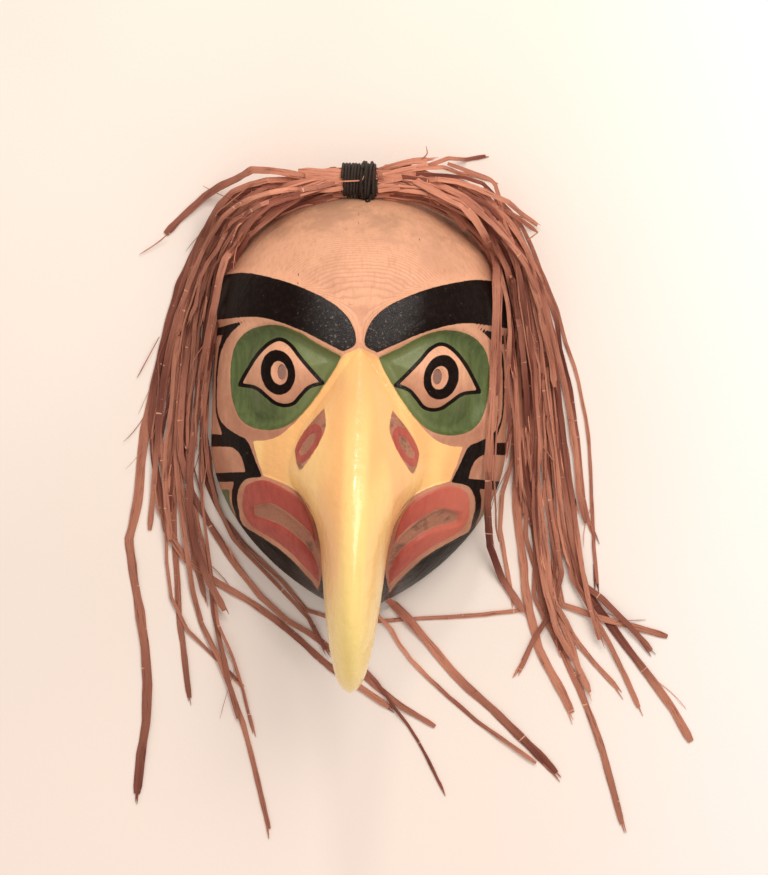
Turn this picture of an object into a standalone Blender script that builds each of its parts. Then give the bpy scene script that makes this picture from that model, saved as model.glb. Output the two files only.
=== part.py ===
"""Eagle mask: a carved head with a hooked beak and an open back, and hair of cedar bark strips.

The mask lies on its flat back rim and looks up. +X is its own left cheek as seen from the
front (the right of a front view), +Y points to the top of the forehead, +Z out of the face.
"""
import math

import bmesh
import bpy
import numpy as np
from mathutils import Vector
from mathutils.bvhtree import BVHTree

# Driving sizes of the head, in metres
HEAD_HALF_WIDTH = 0.1133
HEAD_HEIGHT = 0.320
HEAD_DEPTH = 0.108
WALL = 0.014
FRONT_VIEW_DISTANCE = 2.0
FRONT_VIEW_MIDDLE = (19.3, -28.3)

# Relief of the carving
BROW_RISE = 0.0035
SOCKET_DEPTH = 0.0095
EYE_BULGE = 0.0095
LIP_RISE = 0.0040
MOUTH_DEPTH = 0.0030
PUPIL_HALF_WIDTH = 0.0034
PUPIL_HALF_HEIGHT = 0.0056

# Bark bundle, its binding and the strips
BUNDLE_RADIUS = 0.0100
BUNDLE_HEIGHT = 0.036
BINDING_WIDTH = 0.028
BINDING_TURNS = 8
BINDING_CORD = 0.0026
KNOT_RADIUS = 0.0042
KNOT_SHIFT = 0.005
KNOT_ANGLE = math.radians(112)
STRIP_THICKNESS = 0.0010
STRIP_STEP = 0.028
CROWDED_STEP = 0.014
CROWDED_STEPS = 6
GAP = 0.0003
FLOOR_GAP = 0.0004
STEEPEST_STRIP = 0.6
STRIP_TAPER = 0.6

# Numbers of facets
HEAD_RAYS = 76
HEAD_RINGS = 22
INNER_RINGS = 6
BEAK_STATIONS = 20
BEAK_SIDES = 7
BUNDLE_SIDES = 10
BUNDLE_STEPS = 12
BINDING_SIDES = 12
MAP_CELL = 0.0015
MAP_MARGIN = 0.0009
LAYING_STEPS = 6
SETTLING_ROUNDS = 12
SETTLING_STEP = 0.002

# The front view is drawn in parts: 113.3 parts from the middle to the side of the head, 320
# parts from the chin to the top, and 108 parts from the back rim to the top of the dome.
# Heights on the face count from a point 157 parts below the top.
PARTS_ACROSS = 113.3
PARTS_DOWN = 320
PARTS_DEEP = 108
PART_X = HEAD_HALF_WIDTH / PARTS_ACROSS
PART_Y = HEAD_HEIGHT / PARTS_DOWN
PART_Z = HEAD_DEPTH / PARTS_DEEP

# The dome of the head, in parts: straight sides, a round top and a narrower chin
TOP_START = 45
CHIN_START = -32.7
TOP_LENGTH = 112.5
CHIN_LENGTH = 130.3
TOP_POWER = 2.3
CHIN_ACROSS_POWER = 1.3
CHIN_DOWN_POWER = 1.93
DOME_POWER = 2.2
GRID_MIDDLE = -30
GRID_CROWDING = 0.92
FADE_HEIGHT = 0.03

# Outlines of one side of the face, mirrored for the other side
SOCKET_OUTLINE = [(14, 33), (33, 42.5), (47, 50.5), (62, 55.5), (76, 55), (88, 50), (96.5, 39.5),
                  (99.5, 25), (99, 5), (94.5, -11.5), (86, -21.5), (72, -25.3), (58, -23),
                  (46, -14.8), (34.5, -1.5), (20.5, 20.5)]
BROW_OUTLINE = [(122, 90), (100, 94.5), (84, 94.8), (58, 89.2), (36, 81), (18, 71), (7, 58.5),
                (3.5, 43.5), (13, 37), (19.5, 40), (46, 52.3), (70, 60), (86, 61.5), (104, 59.5),
                (122, 57)]
LIP_OUTLINE = [(91, -75), (86, -65), (71, -60.5), (54.5, -66.5), (41.5, -75), (33, -87.5),
               (27.5, -105), (24, -129), (23.3, -151), (33, -140), (50.5, -122.5), (65, -112),
               (82, -102), (90, -90)]
MOUTH_OUTLINE = [(78, -84), (64, -82), (50, -90), (39, -99), (32, -108), (27, -120), (25, -136),
                 (33, -118), (45, -106), (59, -97)]
SOCKET_WALL = 6.5
ORB_REACH = 22.0
PUPIL_MIDDLE = (59.9, 19.8)

# Beak, station by station from the brow to the tip, in parts: the ridge line and the keel line
# in side view, the half width, how hollow the flanks are and how far the root is in the head
BEAK_STATION_LIST = [
    # ridge y, ridge z, keel y, keel z, half width, flank power, rooted share
    (40.5, 105, 38.5, 100, 4, 1.40, 1),
    (18.5, 117, 18.5, 100, 18, 1.40, 1),
    (-2, 127.5, -1.5, 100, 32, 1.35, 1),
    (-24, 140, -21.5, 100, 46, 1.30, 1),
    (-46, 151.5, -43.5, 99, 53, 1.20, 1),
    (-64, 160.5, -58.5, 98, 51, 1.05, 1),
    (-82, 168, -72.5, 95, 40, 0.80, 1),
    (-100, 174, -85, 91, 30.5, 0.65, 0.7),
    (-120.5, 178.5, -99, 87, 25.6, 0.60, 0.3),
    (-140.5, 180, -113, 89, 23.6, 0.60, 0),
    (-159.5, 176.5, -128, 98, 21.8, 0.60, 0),
    (-176.5, 168.5, -146, 106, 19.7, 0.60, 0),
    (-191.5, 156.5, -165, 110, 17.2, 0.60, 0),
    (-203, 143.5, -183, 111, 14.2, 0.60, 0),
    (-210, 130.5, -197, 110.5, 11.0, 0.60, 0),
    (-213.5, 118, -206.5, 108.5, 7.2, 0.60, 0),
    (-215.2, 109, -212, 105.5, 2.6, 0.60, 0),
]
BEAK_SECTION_POWER = 1.9
BEAK_KEEL_SHARE = 0.22
BEAK_ROOT_DEPTH = 0.004

# Middle line of the bark bundle: across, up from the binding, height from the binding
BUNDLE_ROUTE = [(-84, -23, -10), (-66, -14, -6), (-42, -6, -2), (-24, -1, 0), (-5, 0, 0),
                (14, 0, 0), (30, 2, 0), (57, -5, -3), (76, -14, -7), (88, -21, -10)]
BINDING_MIDDLE = -5

# How the bundle's section changes towards its ends, as shares of its radius
BUNDLE_SWELL = 0.15
BUNDLE_END_WIDTH = 1.05
BUNDLE_END_THICKNESS = 0.40

# Where the strips of both sides come out of the bundle, and the plan in which all strips lie
STRIP_START = 60
MAP_LOW = (-260, -400)
MAP_HIGH = (300, 260)

# Bark strips: width, then the plan route from the bundle to the loose end
LEFT_STRIPS = [
    (6.9, [(-70, 160), (-97, 154), (-123, 123), (-144, 73), (-163, -20), (-169, -81), (-174, -117),
           (-162, -178), (-157, -228), (-162, -308)]),
    (4.6, [(-66, 156), (-89, 151), (-117, 116), (-133, 73), (-142, -58), (-138, -128), (-134, -172),
           (-124, -233)]),
    (5.0, [(-72, 163), (-101, 155), (-127, 119), (-159, 3), (-149, -93), (-130, -128), (-86, -155),
           (-53, -176), (-17, -206), (29, -236)]),
    (2.7, [(-64, 159), (-93, 147), (-120, 108), (-139, 50), (-146, -81), (-140, -161), (-105, -202),
           (-87, -219)]),
    (3.9, [(-60, 163), (-82, 158), (-115, 126), (-129, 81), (-140, -43), (-121, -163), (-104, -198),
           (-83, -250), (-60, -332)]),
    (3.9, [(-62, 154), (-85, 147), (-111, 112), (-125, 66), (-131, -50), (-112, -136), (-106, -176),
           (-87, -248)]),
    (3.1, [(-56, 159), (-80, 150), (-107, 116), (-120, 66), (-119, -50), (-100, -98), (-59, -138),
           (-28, -168), (25, -169), (92, -164), (128, -158)]),
    (4.6, [(-66, 152), (-89, 142), (-117, 101), (-131, 50), (-138, -37), (-118, -92), (-84, -140),
           (-56, -167), (-17, -192), (33, -231), (65, -250)]),
    (2.3, [(-50, 162), (-74, 155), (-104, 123), (-118, 74), (-122, -42), (-115, -111), (-102, -184),
           (-88, -208), (-76, -254)]),
    (3.1, [(-58, 150), (-80, 141), (-106, 103), (-116, 58), (-117, -42), (-99, -103), (-71, -133),
           (-44, -160), (-27, -176), (-21, -193)]),
    (4.6, [(-48, 168), (-97, 160), (-121, 131), (-135, 81), (-154, -12), (-148, -66), (-143, -112)]),
    (5.4, [(-40, 160), (-75, 148), (-99, 120), (-113, 81), (-126, -19), (-129, -81), (-119, -127),
           (-99, -165)]),
    (3.9, [(-45, 164), (-104, 143), (-129, 98), (-146, 46), (-155, -28), (-159, -105)]),
]
RIGHT_STRIPS = [
    (9.2, [(62, 169), (84, 160), (108, 138), (123, 96), (127, 4), (133, -73), (150, -134)]),
    (6.5, [(60, 162), (82, 154), (106, 131), (121, 88), (123, 3), (124, -85), (138, -171),
           (154, -206), (170, -236)]),
    (5.8, [(66, 162), (84, 153), (113, 127), (136, 81), (155, -34), (173, -130), (199, -169),
           (241, -222), (263, -255)]),
    (5.0, [(58, 156), (76, 146), (103, 119), (120, 73), (130, -42), (148, -164), (167, -198),
           (193, -259), (212, -320)]),
    (4.6, [(56, 167), (78, 160), (104, 142), (128, 104), (143, -11), (154, -126), (163, -155),
           (201, -164), (242, -175)]),
    (4.6, [(52, 170), (78, 160), (108, 133), (130, 89), (147, -19), (169, -130), (194, -149),
           (230, -186)]),
    (3.9, [(58, 173), (80, 165), (105, 146), (131, 100), (148, -19), (167, -130), (181, -154),
           (204, -193), (222, -230)]),
    (3.9, [(48, 168), (78, 158), (110, 128), (129, 81), (143, -42), (160, -134), (144, -167),
           (129, -206)]),
    (3.9, [(50, 160), (70, 151), (100, 122), (118, 80), (124, -27), (151, -142), (173, -181),
           (205, -217)]),
    (5.4, [(27, 167), (71, 158), (109, 122), (127, 73), (137, -50), (152, -150), (160, -188)]),
    (4.6, [(23, 170), (63, 164), (101, 137), (120, 96), (138, -19), (136, -73), (151, -157),
           (171, -195)]),
    (3.9, [(34, 163), (77, 153), (117, 117), (141, 66), (162, -49), (178, -141), (190, -179)]),
    (2.7, [(33, 174), (76, 170), (113, 146), (134, 110), (156, 54), (175, -16), (183, -112),
           (187, -136)]),
    (3.1, [(44, 161), (78, 147), (104, 116), (119, 73), (119, -35), (110, -85), (122, -150)]),
    (5.4, [(22, 166), (65, 156), (92, 132), (102, 103), (101, 3), (100, -86), (107, -121),
           (130, -159)]),
]
CROWN_STRIPS = [
    (5.4, [(-44, 170), (-78, 170), (-97, 166), (-124, 153), (-153, 123)]),
    (3.1, [(18, 173), (54, 183), (91, 191)]),
    (3.1, [(20, 176), (62, 181), (96, 172)]),
    (3.9, [(41, 171), (83, 167), (132, 138)]),
]
UNDER_STRIPS = [
    (6.6, [(31, -157), (37, -162), (55.5, -183), (83.5, -214), (119, -243), (159, -283)]),
    (3.1, [(19, -166), (26, -171), (40, -194), (62, -214), (92, -241), (144, -275)]),
    (2.3, [(9, -206), (15, -211), (32, -233), (53, -263), (72, -298)]),
]

WOOD_COLOUR = (0.72, 0.40, 0.25, 1.0)
BARK_COLOUR = (0.42, 0.15, 0.07, 1.0)
CORD_COLOUR = (0.03, 0.02, 0.015, 1.0)


def finish(name, colour, roughness):
    """A plain surface of one colour."""
    material = bpy.data.materials.new(name)
    material.use_nodes = True
    shader = material.node_tree.nodes["Principled BSDF"]
    shader.inputs["Base Color"].default_value = colour
    shader.inputs["Roughness"].default_value = roughness
    shader.inputs["Metallic"].default_value = 0.0
    return material


def new_object(name, vertices, faces, material, smooth_angle=math.radians(40)):
    """One closed mesh object, its faces turned outwards."""
    mesh = bpy.data.meshes.new(name)
    mesh.from_pydata([tuple(v) for v in vertices], [], faces)
    shell = bmesh.new()
    shell.from_mesh(mesh)
    bmesh.ops.recalc_face_normals(shell, faces=shell.faces)
    shell.to_mesh(mesh)
    shell.free()
    mesh.shade_smooth()
    mesh.set_sharp_from_angle(angle=smooth_angle)
    mesh.materials.append(material)
    thing = bpy.data.objects.new(name, mesh)
    bpy.context.scene.collection.objects.link(thing)
    return thing


def smooth_line(points, step):
    """Points about step apart on a smooth curve through the given ones, in any number of axes."""
    points = np.array(points, dtype=float)
    ends = np.vstack([2 * points[0] - points[1], points, 2 * points[-1] - points[-2]])
    line = []
    for i in range(1, len(points)):
        a, b, c, d = ends[i - 1], ends[i], ends[i + 1], ends[i + 2]
        for t in np.arange(0, 1, 0.05):
            line.append(0.5 * (2 * b + (c - a) * t + (2 * a - 5 * b + 4 * c - d) * t ** 2
                               + (3 * b - a - 3 * c + d) * t ** 3))
    line.append(points[-1])
    line = np.array(line)
    length = np.concatenate([[0], np.cumsum(np.linalg.norm(np.diff(line, axis=0), axis=1))])
    count = max(2, int(round(length[-1] / step)))
    places = np.linspace(0, length[-1], count + 1)
    return np.column_stack([np.interp(places, length, line[:, k]) for k in range(line.shape[1])])


def smooth_step(value, low, high):
    """0 below low, 1 above high, and a soft ramp between."""
    t = np.clip((value - low) / (high - low), 0, 1)
    return t * t * (3 - 2 * t)


def inside_distance(x, y, outline):
    """Distance in parts from each point to a closed outline, positive inside it."""
    corners = smooth_line(outline + outline[:1], 4.0)[:-1]
    after = np.roll(corners, -1, axis=0)
    nearest = np.full(x.shape, 1e9)
    inside = np.zeros(x.shape, dtype=bool)
    for (ax, ay), (bx, by) in zip(corners, after):
        dx, dy = bx - ax, by - ay
        t = np.clip(((x - ax) * dx + (y - ay) * dy) / (dx * dx + dy * dy), 0, 1)
        nearest = np.minimum(nearest, np.hypot(x - ax - t * dx, y - ay - t * dy))
        crosses = (ay > y) != (by > y)
        if dy:
            inside ^= crosses & (x < ax + (y - ay) * dx / dy)
    return np.where(inside, nearest, -nearest)


def reach(x, y, inset):
    """How far out a point is: 0 on the middle line, 1 on the outline, drawn in by inset."""
    across = np.abs(x) / (HEAD_HALF_WIDTH - inset)
    up = np.maximum(y - TOP_START * PART_Y, 0) / (TOP_LENGTH * PART_Y - inset)
    down = np.maximum(CHIN_START * PART_Y - y, 0) / (CHIN_LENGTH * PART_Y - inset)
    top = (across ** TOP_POWER + up ** TOP_POWER) ** (1 / TOP_POWER)
    chin = (across ** CHIN_ACROSS_POWER + down ** CHIN_DOWN_POWER) ** (1 / CHIN_ACROSS_POWER)
    return np.where(down > 0, chin, top)


def dome(x, y, inset=0.0):
    """Height of the smooth head over the back rim."""
    share = np.clip(reach(x, y, inset), 0, 1) ** DOME_POWER
    return (HEAD_DEPTH - inset) * np.sqrt(1 - share)


def outline_length(angle, inset):
    """Distance from the grid's middle to the outline in one direction."""
    low, high = 0.0, 2 * (HEAD_HALF_WIDTH + HEAD_HEIGHT)
    for _ in range(50):
        middle = (low + high) / 2
        x = middle * math.cos(angle)
        y = GRID_MIDDLE * PART_Y + middle * math.sin(angle)
        if reach(np.array(x), np.array(y), inset) < 1:
            low = middle
        else:
            high = middle
    return low


def grid(rings, inset):
    """Rings of plan points from the middle of the face to its outline."""
    angles = [2 * math.pi * (i + 0.5) / HEAD_RAYS for i in range(HEAD_RAYS)]
    lengths = np.array([outline_length(a, inset) for a in angles])
    shares = [math.sin(0.5 * math.pi * k / rings) ** GRID_CROWDING for k in range(1, rings + 1)]
    x = np.array([s * lengths * np.cos(angles) for s in shares])
    y = np.array([GRID_MIDDLE * PART_Y + s * lengths * np.sin(angles) for s in shares])
    return x, y


def front_view(x, y, z):
    """Where points show in the front view, in parts, with both sides of the face as one."""
    nearer = 1 / (1 - z / FRONT_VIEW_DISTANCE)
    middle = FRONT_VIEW_MIDDLE[1]
    return np.abs(x) * nearer / PART_X, middle + (y / PART_Y - middle) * nearer


def relief(x, y, z):
    """Height of the carving over the smooth head, read from the front view."""
    u, v = front_view(x, y, z)
    socket = inside_distance(u, v, SOCKET_OUTLINE)
    wall = 1 - (1 - np.clip((socket + 1) / SOCKET_WALL, 0, 1)) ** 2
    orb = np.sqrt(1 - (1 - np.clip((socket - SOCKET_WALL) / ORB_REACH, 0, 1)) ** 2)
    brow = smooth_step(inside_distance(u, v, BROW_OUTLINE), -8, 4)
    lip = smooth_step(inside_distance(u, v, LIP_OUTLINE), -2, 5)
    mouth = smooth_step(inside_distance(u, v, MOUTH_OUTLINE), -3, 2)
    return (BROW_RISE * brow - SOCKET_DEPTH * wall + EYE_BULGE * orb
            + LIP_RISE * lip - MOUTH_DEPTH * mouth)


def carved_point(x, y):
    """Points of the carved surface: the dome, pushed out along its normal by the relief."""
    step = 0.0005
    z = dome(x, y)
    across = (dome(x + step, y) - dome(x - step, y)) / (2 * step)
    along = (dome(x, y + step) - dome(x, y - step)) / (2 * step)
    height = relief(x, y, z)
    flat = 1 / np.sqrt(across ** 2 + along ** 2 + 1)
    fade = smooth_step(z, 0.0, FADE_HEIGHT)
    return (x - across * flat * height * fade, y - along * flat * height * fade,
            z + flat * height * fade)


def ring_faces(start, rings, around):
    """Quads between rings of vertices that follow one another."""
    faces = []
    for k in range(rings - 1):
        for i in range(around):
            j = (i + 1) % around
            a, b = start + k * around + i, start + k * around + j
            faces.append((a, b, b + around, a + around))
    return faces


def build_head(material):
    """The hollow head without its beak, open at the back."""
    x, y = grid(HEAD_RINGS, 0.0)
    cx, cy, cz = carved_point(x[:-1], y[:-1])
    outer = [np.column_stack([cx[k], cy[k], cz[k]]) for k in range(HEAD_RINGS - 1)]
    outer.append(np.column_stack([x[-1], y[-1], np.zeros(HEAD_RAYS)]))
    ix, iy = grid(INNER_RINGS, WALL)
    inner = [np.column_stack([ix[k], iy[k], dome(ix[k], iy[k], WALL)]) for k in range(INNER_RINGS - 1)]
    inner.append(np.column_stack([ix[-1], iy[-1], np.zeros(HEAD_RAYS)]))
    middle_y = GRID_MIDDLE * PART_Y
    tops = [(0, middle_y, float(dome(np.array(0.0), np.array(middle_y)))),
            (0, middle_y, float(dome(np.array(0.0), np.array(middle_y), WALL)))]
    vertices = [tuple(p) for ring in outer + inner[::-1] for p in ring] + tops
    rings = HEAD_RINGS + INNER_RINGS
    faces = ring_faces(0, rings, HEAD_RAYS)
    last = (rings - 1) * HEAD_RAYS
    for i in range(HEAD_RAYS):
        j = (i + 1) % HEAD_RAYS
        faces.append((rings * HEAD_RAYS, j, i))
        faces.append((rings * HEAD_RAYS + 1, last + i, last + j))
    return new_object("mask", vertices, faces, material)


def build_beak(material):
    """The beak as sections across its ridge line, its root sunk into the head."""
    stations = smooth_line(BEAK_STATION_LIST, 1.0)
    picks = np.linspace(0, len(stations) - 1, BEAK_STATIONS).round().astype(int)
    vertices = []
    for ridge_y, ridge_z, keel_y, keel_z, half, flank, rooted in stations[picks]:
        ridge = np.array([0, ridge_y * PART_Y, ridge_z * PART_Z])
        keel = np.array([0, keel_y * PART_Y, keel_z * PART_Z])
        foot = keel + (ridge - keel) * BEAK_KEEL_SHARE
        sunk = float(dome(np.array(half * PART_X), np.array(foot[1]))) - BEAK_ROOT_DEPTH
        foot[2] += rooted * (sunk - foot[2])
        for k in range(-BEAK_SIDES, BEAK_SIDES + 1):
            across = math.sin(0.5 * math.pi * k / BEAK_SIDES)
            rise = (1 - abs(across) ** BEAK_SECTION_POWER) ** flank
            point = foot + (ridge - foot) * rise
            point[0] = across * half * PART_X
            vertices.append(tuple(point))
        vertices.append(tuple(keel))
    around = 2 * BEAK_SIDES + 2
    faces = ring_faces(0, BEAK_STATIONS, around)
    faces.append(tuple(range(around)))
    faces.append(tuple(range((BEAK_STATIONS - 1) * around, BEAK_STATIONS * around)))
    return new_object("beak_form", vertices, faces, material)


def build_pupil(side, material):
    """A drill for one pupil, through the front of the head."""
    z = float(dome(np.array(PUPIL_MIDDLE[0] * PART_X), np.array(PUPIL_MIDDLE[1] * PART_Y)))
    farther = 1 - z / FRONT_VIEW_DISTANCE
    middle = FRONT_VIEW_MIDDLE[1]
    shell = bmesh.new()
    bmesh.ops.create_cone(shell, cap_ends=True, segments=16, radius1=1.0, radius2=1.0, depth=1.0)
    mesh = bpy.data.meshes.new("pupil_drill")
    shell.to_mesh(mesh)
    shell.free()
    for vertex in mesh.vertices:
        vertex.co = Vector((vertex.co.x * PUPIL_HALF_WIDTH, vertex.co.y * PUPIL_HALF_HEIGHT,
                            vertex.co.z * 2 * HEAD_DEPTH))
    mesh.materials.append(material)
    drill = bpy.data.objects.new("pupil_drill", mesh)
    bpy.context.scene.collection.objects.link(drill)
    drill.location = (side * PUPIL_MIDDLE[0] * PART_X * farther,
                      (middle + (PUPIL_MIDDLE[1] - middle) * farther) * PART_Y, HEAD_DEPTH)
    return drill


def apply_booleans(target, tools):
    """Join or cut with each tool in turn, then drop the tools."""
    for operation, tool in tools:
        modifier = target.modifiers.new(operation.lower(), "BOOLEAN")
        modifier.operation = operation
        modifier.solver = "EXACT"
        modifier.object = tool
    bpy.context.view_layer.update()
    evaluated = target.evaluated_get(bpy.context.evaluated_depsgraph_get())
    mesh = bpy.data.meshes.new_from_object(evaluated)
    target.modifiers.clear()
    target.data = mesh
    for _, tool in tools:
        bpy.data.objects.remove(tool)
    mesh.shade_smooth()
    mesh.set_sharp_from_angle(angle=math.radians(40))


def binding_place():
    """Where the middle of the binding lies: against the top of the head, at its own height."""
    y = np.linspace(TOP_START * PART_Y, (TOP_START + TOP_LENGTH) * PART_Y, 4001)
    z = dome(np.zeros_like(y), y)
    away = BUNDLE_RADIUS + GAP + BINDING_CORD + GAP
    slope = np.gradient(z, y)
    steep = 1 / np.sqrt(1 + slope ** 2)
    middle_y = y - slope * steep * away
    middle_z = z + steep * away
    pick = int(np.argmin(np.abs(middle_z[:-5] - BUNDLE_HEIGHT)))
    return middle_y[pick], middle_z[pick]


def tube(name, centres, radii, sides, material):
    """A bar along centres, each with its own half width and half height."""
    centres = np.array(centres)
    tangents = np.gradient(centres, axis=0)
    vertices = []
    for centre, tangent, (wide, high) in zip(centres, tangents, radii):
        forward = Vector(tangent).normalized()
        side = forward.cross(Vector((0, 0, 1))).normalized()
        up = side.cross(forward)
        for i in range(sides):
            a = 2 * math.pi * i / sides
            vertices.append(Vector(centre) + side * (wide * math.cos(a)) + up * (high * math.sin(a)))
    faces = ring_faces(0, len(centres), sides)
    faces.append(tuple(range(sides)))
    faces.append(tuple(range((len(centres) - 1) * sides, len(centres) * sides)))
    return new_object(name, vertices, faces, material)


def build_bundle(place, material):
    """The gathered bark, round in the binding and flatter and wider towards both ends."""
    route = [(x * PART_X, place[0] + y * PART_Y, place[1] + z * PART_Z) for x, y, z in BUNDLE_ROUTE]
    line = smooth_line(route, 0.001)
    middle = BINDING_MIDDLE * PART_X
    half = BINDING_WIDTH / 2
    left = [p for p in line if p[0] < middle - half - 0.010]
    right = [p for p in line if p[0] > middle + half + 0.010]
    picks = []
    for part in (left, right):
        chosen = np.linspace(0, len(part) - 1, BUNDLE_STEPS // 2).round().astype(int)
        picks.append([part[i] for i in chosen])
    ends = (-half - 0.004, -half - 0.001, half + 0.001, half + 0.004)
    straight = [np.array((middle + x, place[0], place[1])) for x in ends]
    centres = picks[0] + straight + picks[1]
    farthest = max(abs(p[0] - middle) for p in centres)
    radii = []
    for p in centres:
        share = max(0.0, (abs(p[0] - middle) - half - 0.004) / (farthest - half))
        swell = 1 + BUNDLE_SWELL * math.sin(math.pi * min(1.0, share * 1.6))
        radii.append((BUNDLE_RADIUS * swell * (1 + (BUNDLE_END_WIDTH - 1) * share),
                      BUNDLE_RADIUS * (1 + (BUNDLE_END_THICKNESS - 1) * share)))
    return tube("bark_bundle", centres, radii, BUNDLE_SIDES, material)


def build_binding(place, material):
    """Turns of cord side by side round the bundle, with a knot on top."""
    middle = BINDING_MIDDLE * PART_X
    inner = (BUNDLE_RADIUS + GAP) / math.cos(math.pi / BINDING_SIDES)
    stations = 2 * BINDING_TURNS + 1
    profile = []
    for k in range(stations):
        x = middle + BINDING_WIDTH * (k / (stations - 1) - 0.5)
        crest = 1.0 if k % 2 else 0.45
        profile.append((x, inner + BINDING_CORD * crest))
    profile.append((middle + BINDING_WIDTH / 2, inner))
    profile.append((middle - BINDING_WIDTH / 2, inner))
    vertices = []
    for x, radius in profile:
        for i in range(BINDING_SIDES):
            a = 2 * math.pi * i / BINDING_SIDES
            vertices.append((x, place[0] + radius * math.cos(a), place[1] + radius * math.sin(a)))
    faces = ring_faces(0, len(profile), BINDING_SIDES)
    last = (len(profile) - 1) * BINDING_SIDES
    for i in range(BINDING_SIDES):
        j = (i + 1) % BINDING_SIDES
        faces.append((last + i, last + j, j, i))
    binding = new_object("binding", vertices, faces, material)
    shell = bmesh.new()
    bmesh.ops.create_uvsphere(shell, u_segments=8, v_segments=6, radius=KNOT_RADIUS)
    mesh = bpy.data.meshes.new("knot")
    shell.to_mesh(mesh)
    shell.free()
    knot = bpy.data.objects.new("knot", mesh)
    bpy.context.scene.collection.objects.link(knot)
    away = inner + KNOT_RADIUS
    knot.location = (middle + KNOT_SHIFT, place[0] + away * math.cos(KNOT_ANGLE),
                     place[1] + away * math.sin(KNOT_ANGLE))
    apply_booleans(binding, [("UNION", knot)])
    return binding


class HeightMap:
    """The highest surface so far over each cell of the plan, on which a strip can lie."""

    def __init__(self, low, high):
        self.low = np.array(low)
        counts = np.ceil((np.array(high) - self.low) / MAP_CELL).astype(int)
        self.x = self.low[0] + MAP_CELL * (np.arange(counts[0]) + 0.5)
        self.y = self.low[1] + MAP_CELL * (np.arange(counts[1]) + 0.5)
        self.z = np.full((counts[0], counts[1]), FLOOR_GAP)

    def add_object(self, thing):
        """Raise the map to the top of a solid, one cell wider than it is."""
        tree = BVHTree.FromObject(thing, bpy.context.evaluated_depsgraph_get())
        found = np.zeros_like(self.z)
        corners = np.array([v.co for v in thing.data.vertices])
        (low_x, low_y, _), (high_x, high_y, _) = corners.min(axis=0), corners.max(axis=0)
        for i in np.flatnonzero((self.x > low_x) & (self.x < high_x)):
            for j in np.flatnonzero((self.y > low_y) & (self.y < high_y)):
                hit = tree.ray_cast(Vector((self.x[i], self.y[j], 1.0)), Vector((0, 0, -1)))[0]
                if hit:
                    found[i, j] = hit.z
        for shift in (-1, 1):
            found = np.maximum(found, np.roll(found, shift, axis=0))
        for shift in (-1, 1):
            found = np.maximum(found, np.roll(found, shift, axis=1))
        self.z = np.maximum(self.z, np.where(found > 0, found + GAP, 0))

    def cells(self, a, b, reach_out):
        """The window of cells round one stretch of a strip, and which of them it covers."""
        low = np.minimum(a, b) - reach_out
        high = np.maximum(a, b) + reach_out
        i0, j0 = np.maximum(((low - self.low) / MAP_CELL).astype(int), 0)
        i1, j1 = ((high - self.low) / MAP_CELL).astype(int) + 1
        x, y = np.meshgrid(self.x[i0:i1], self.y[j0:j1], indexing="ij")
        run = b - a
        t = np.clip(((x - a[0]) * run[0] + (y - a[1]) * run[1]) / run.dot(run), 0, 1)
        near = np.hypot(x - a[0] - t * run[0], y - a[1] - t * run[1]) <= reach_out
        return (slice(i0, i1), slice(j0, j1)), near

    def highest(self, a, b, reach_out):
        """The highest surface under one stretch."""
        window, near = self.cells(a, b, reach_out)
        return float(self.z[window][near].max())

    def cover(self, a, b, reach_out, top):
        """Raise the map to the top of one stretch."""
        window, near = self.cells(a, b, reach_out)
        patch = self.z[window]
        patch[near] = np.maximum(patch[near], top + GAP)


def laid_heights(points, reach_out, surface):
    """Heights of a ribbon's bends, so that every straight stretch clears what is below it."""
    shares = np.linspace(0, 1, LAYING_STEPS + 1)
    along = np.concatenate([[0], np.cumsum(np.linalg.norm(np.diff(points, axis=0), axis=1))])
    needs = []
    for k in range(len(points) - 1):
        fine = [points[k] + (points[k + 1] - points[k]) * share for share in shares]
        for n in range(LAYING_STEPS):
            low = surface.highest(fine[n], fine[n + 1], reach_out)
            needs.append((k, shares[n], low))
            needs.append((k, shares[n + 1], low))
    height = np.full(len(points), FLOOR_GAP)
    for k, share, low in needs:
        place = along[k] + share * (along[k + 1] - along[k])
        far = np.maximum(np.abs(along - place) - STRIP_STEP / 2, 0)
        height = np.maximum(height, low - STEEPEST_STRIP * far - 0.5 * STEEPEST_STRIP * STRIP_STEP)
    for _ in range(40):
        short = 0.0
        for k, share, low in needs:
            lack = low - (height[k] * (1 - share) + height[k + 1] * share)
            if lack > 0:
                short = max(short, lack)
                both = (1 - share) ** 2 + share ** 2
                height[k] += lack * (1 - share) / both
                height[k + 1] += lack * share / both
        if short < 1e-6:
            break
    for _ in range(SETTLING_ROUNDS):
        for k in range(len(points)):
            lowest = FLOOR_GAP
            for span, share, low in needs:
                if span == k and share < 0.99:
                    lowest = max(lowest, (low - height[k + 1] * share) / (1 - share))
                elif span == k - 1 and share > 0.01:
                    lowest = max(lowest, (low - height[k - 1] * (1 - share)) / share)
            height[k] = max(lowest, height[k] - SETTLING_STEP)
    return height


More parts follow.
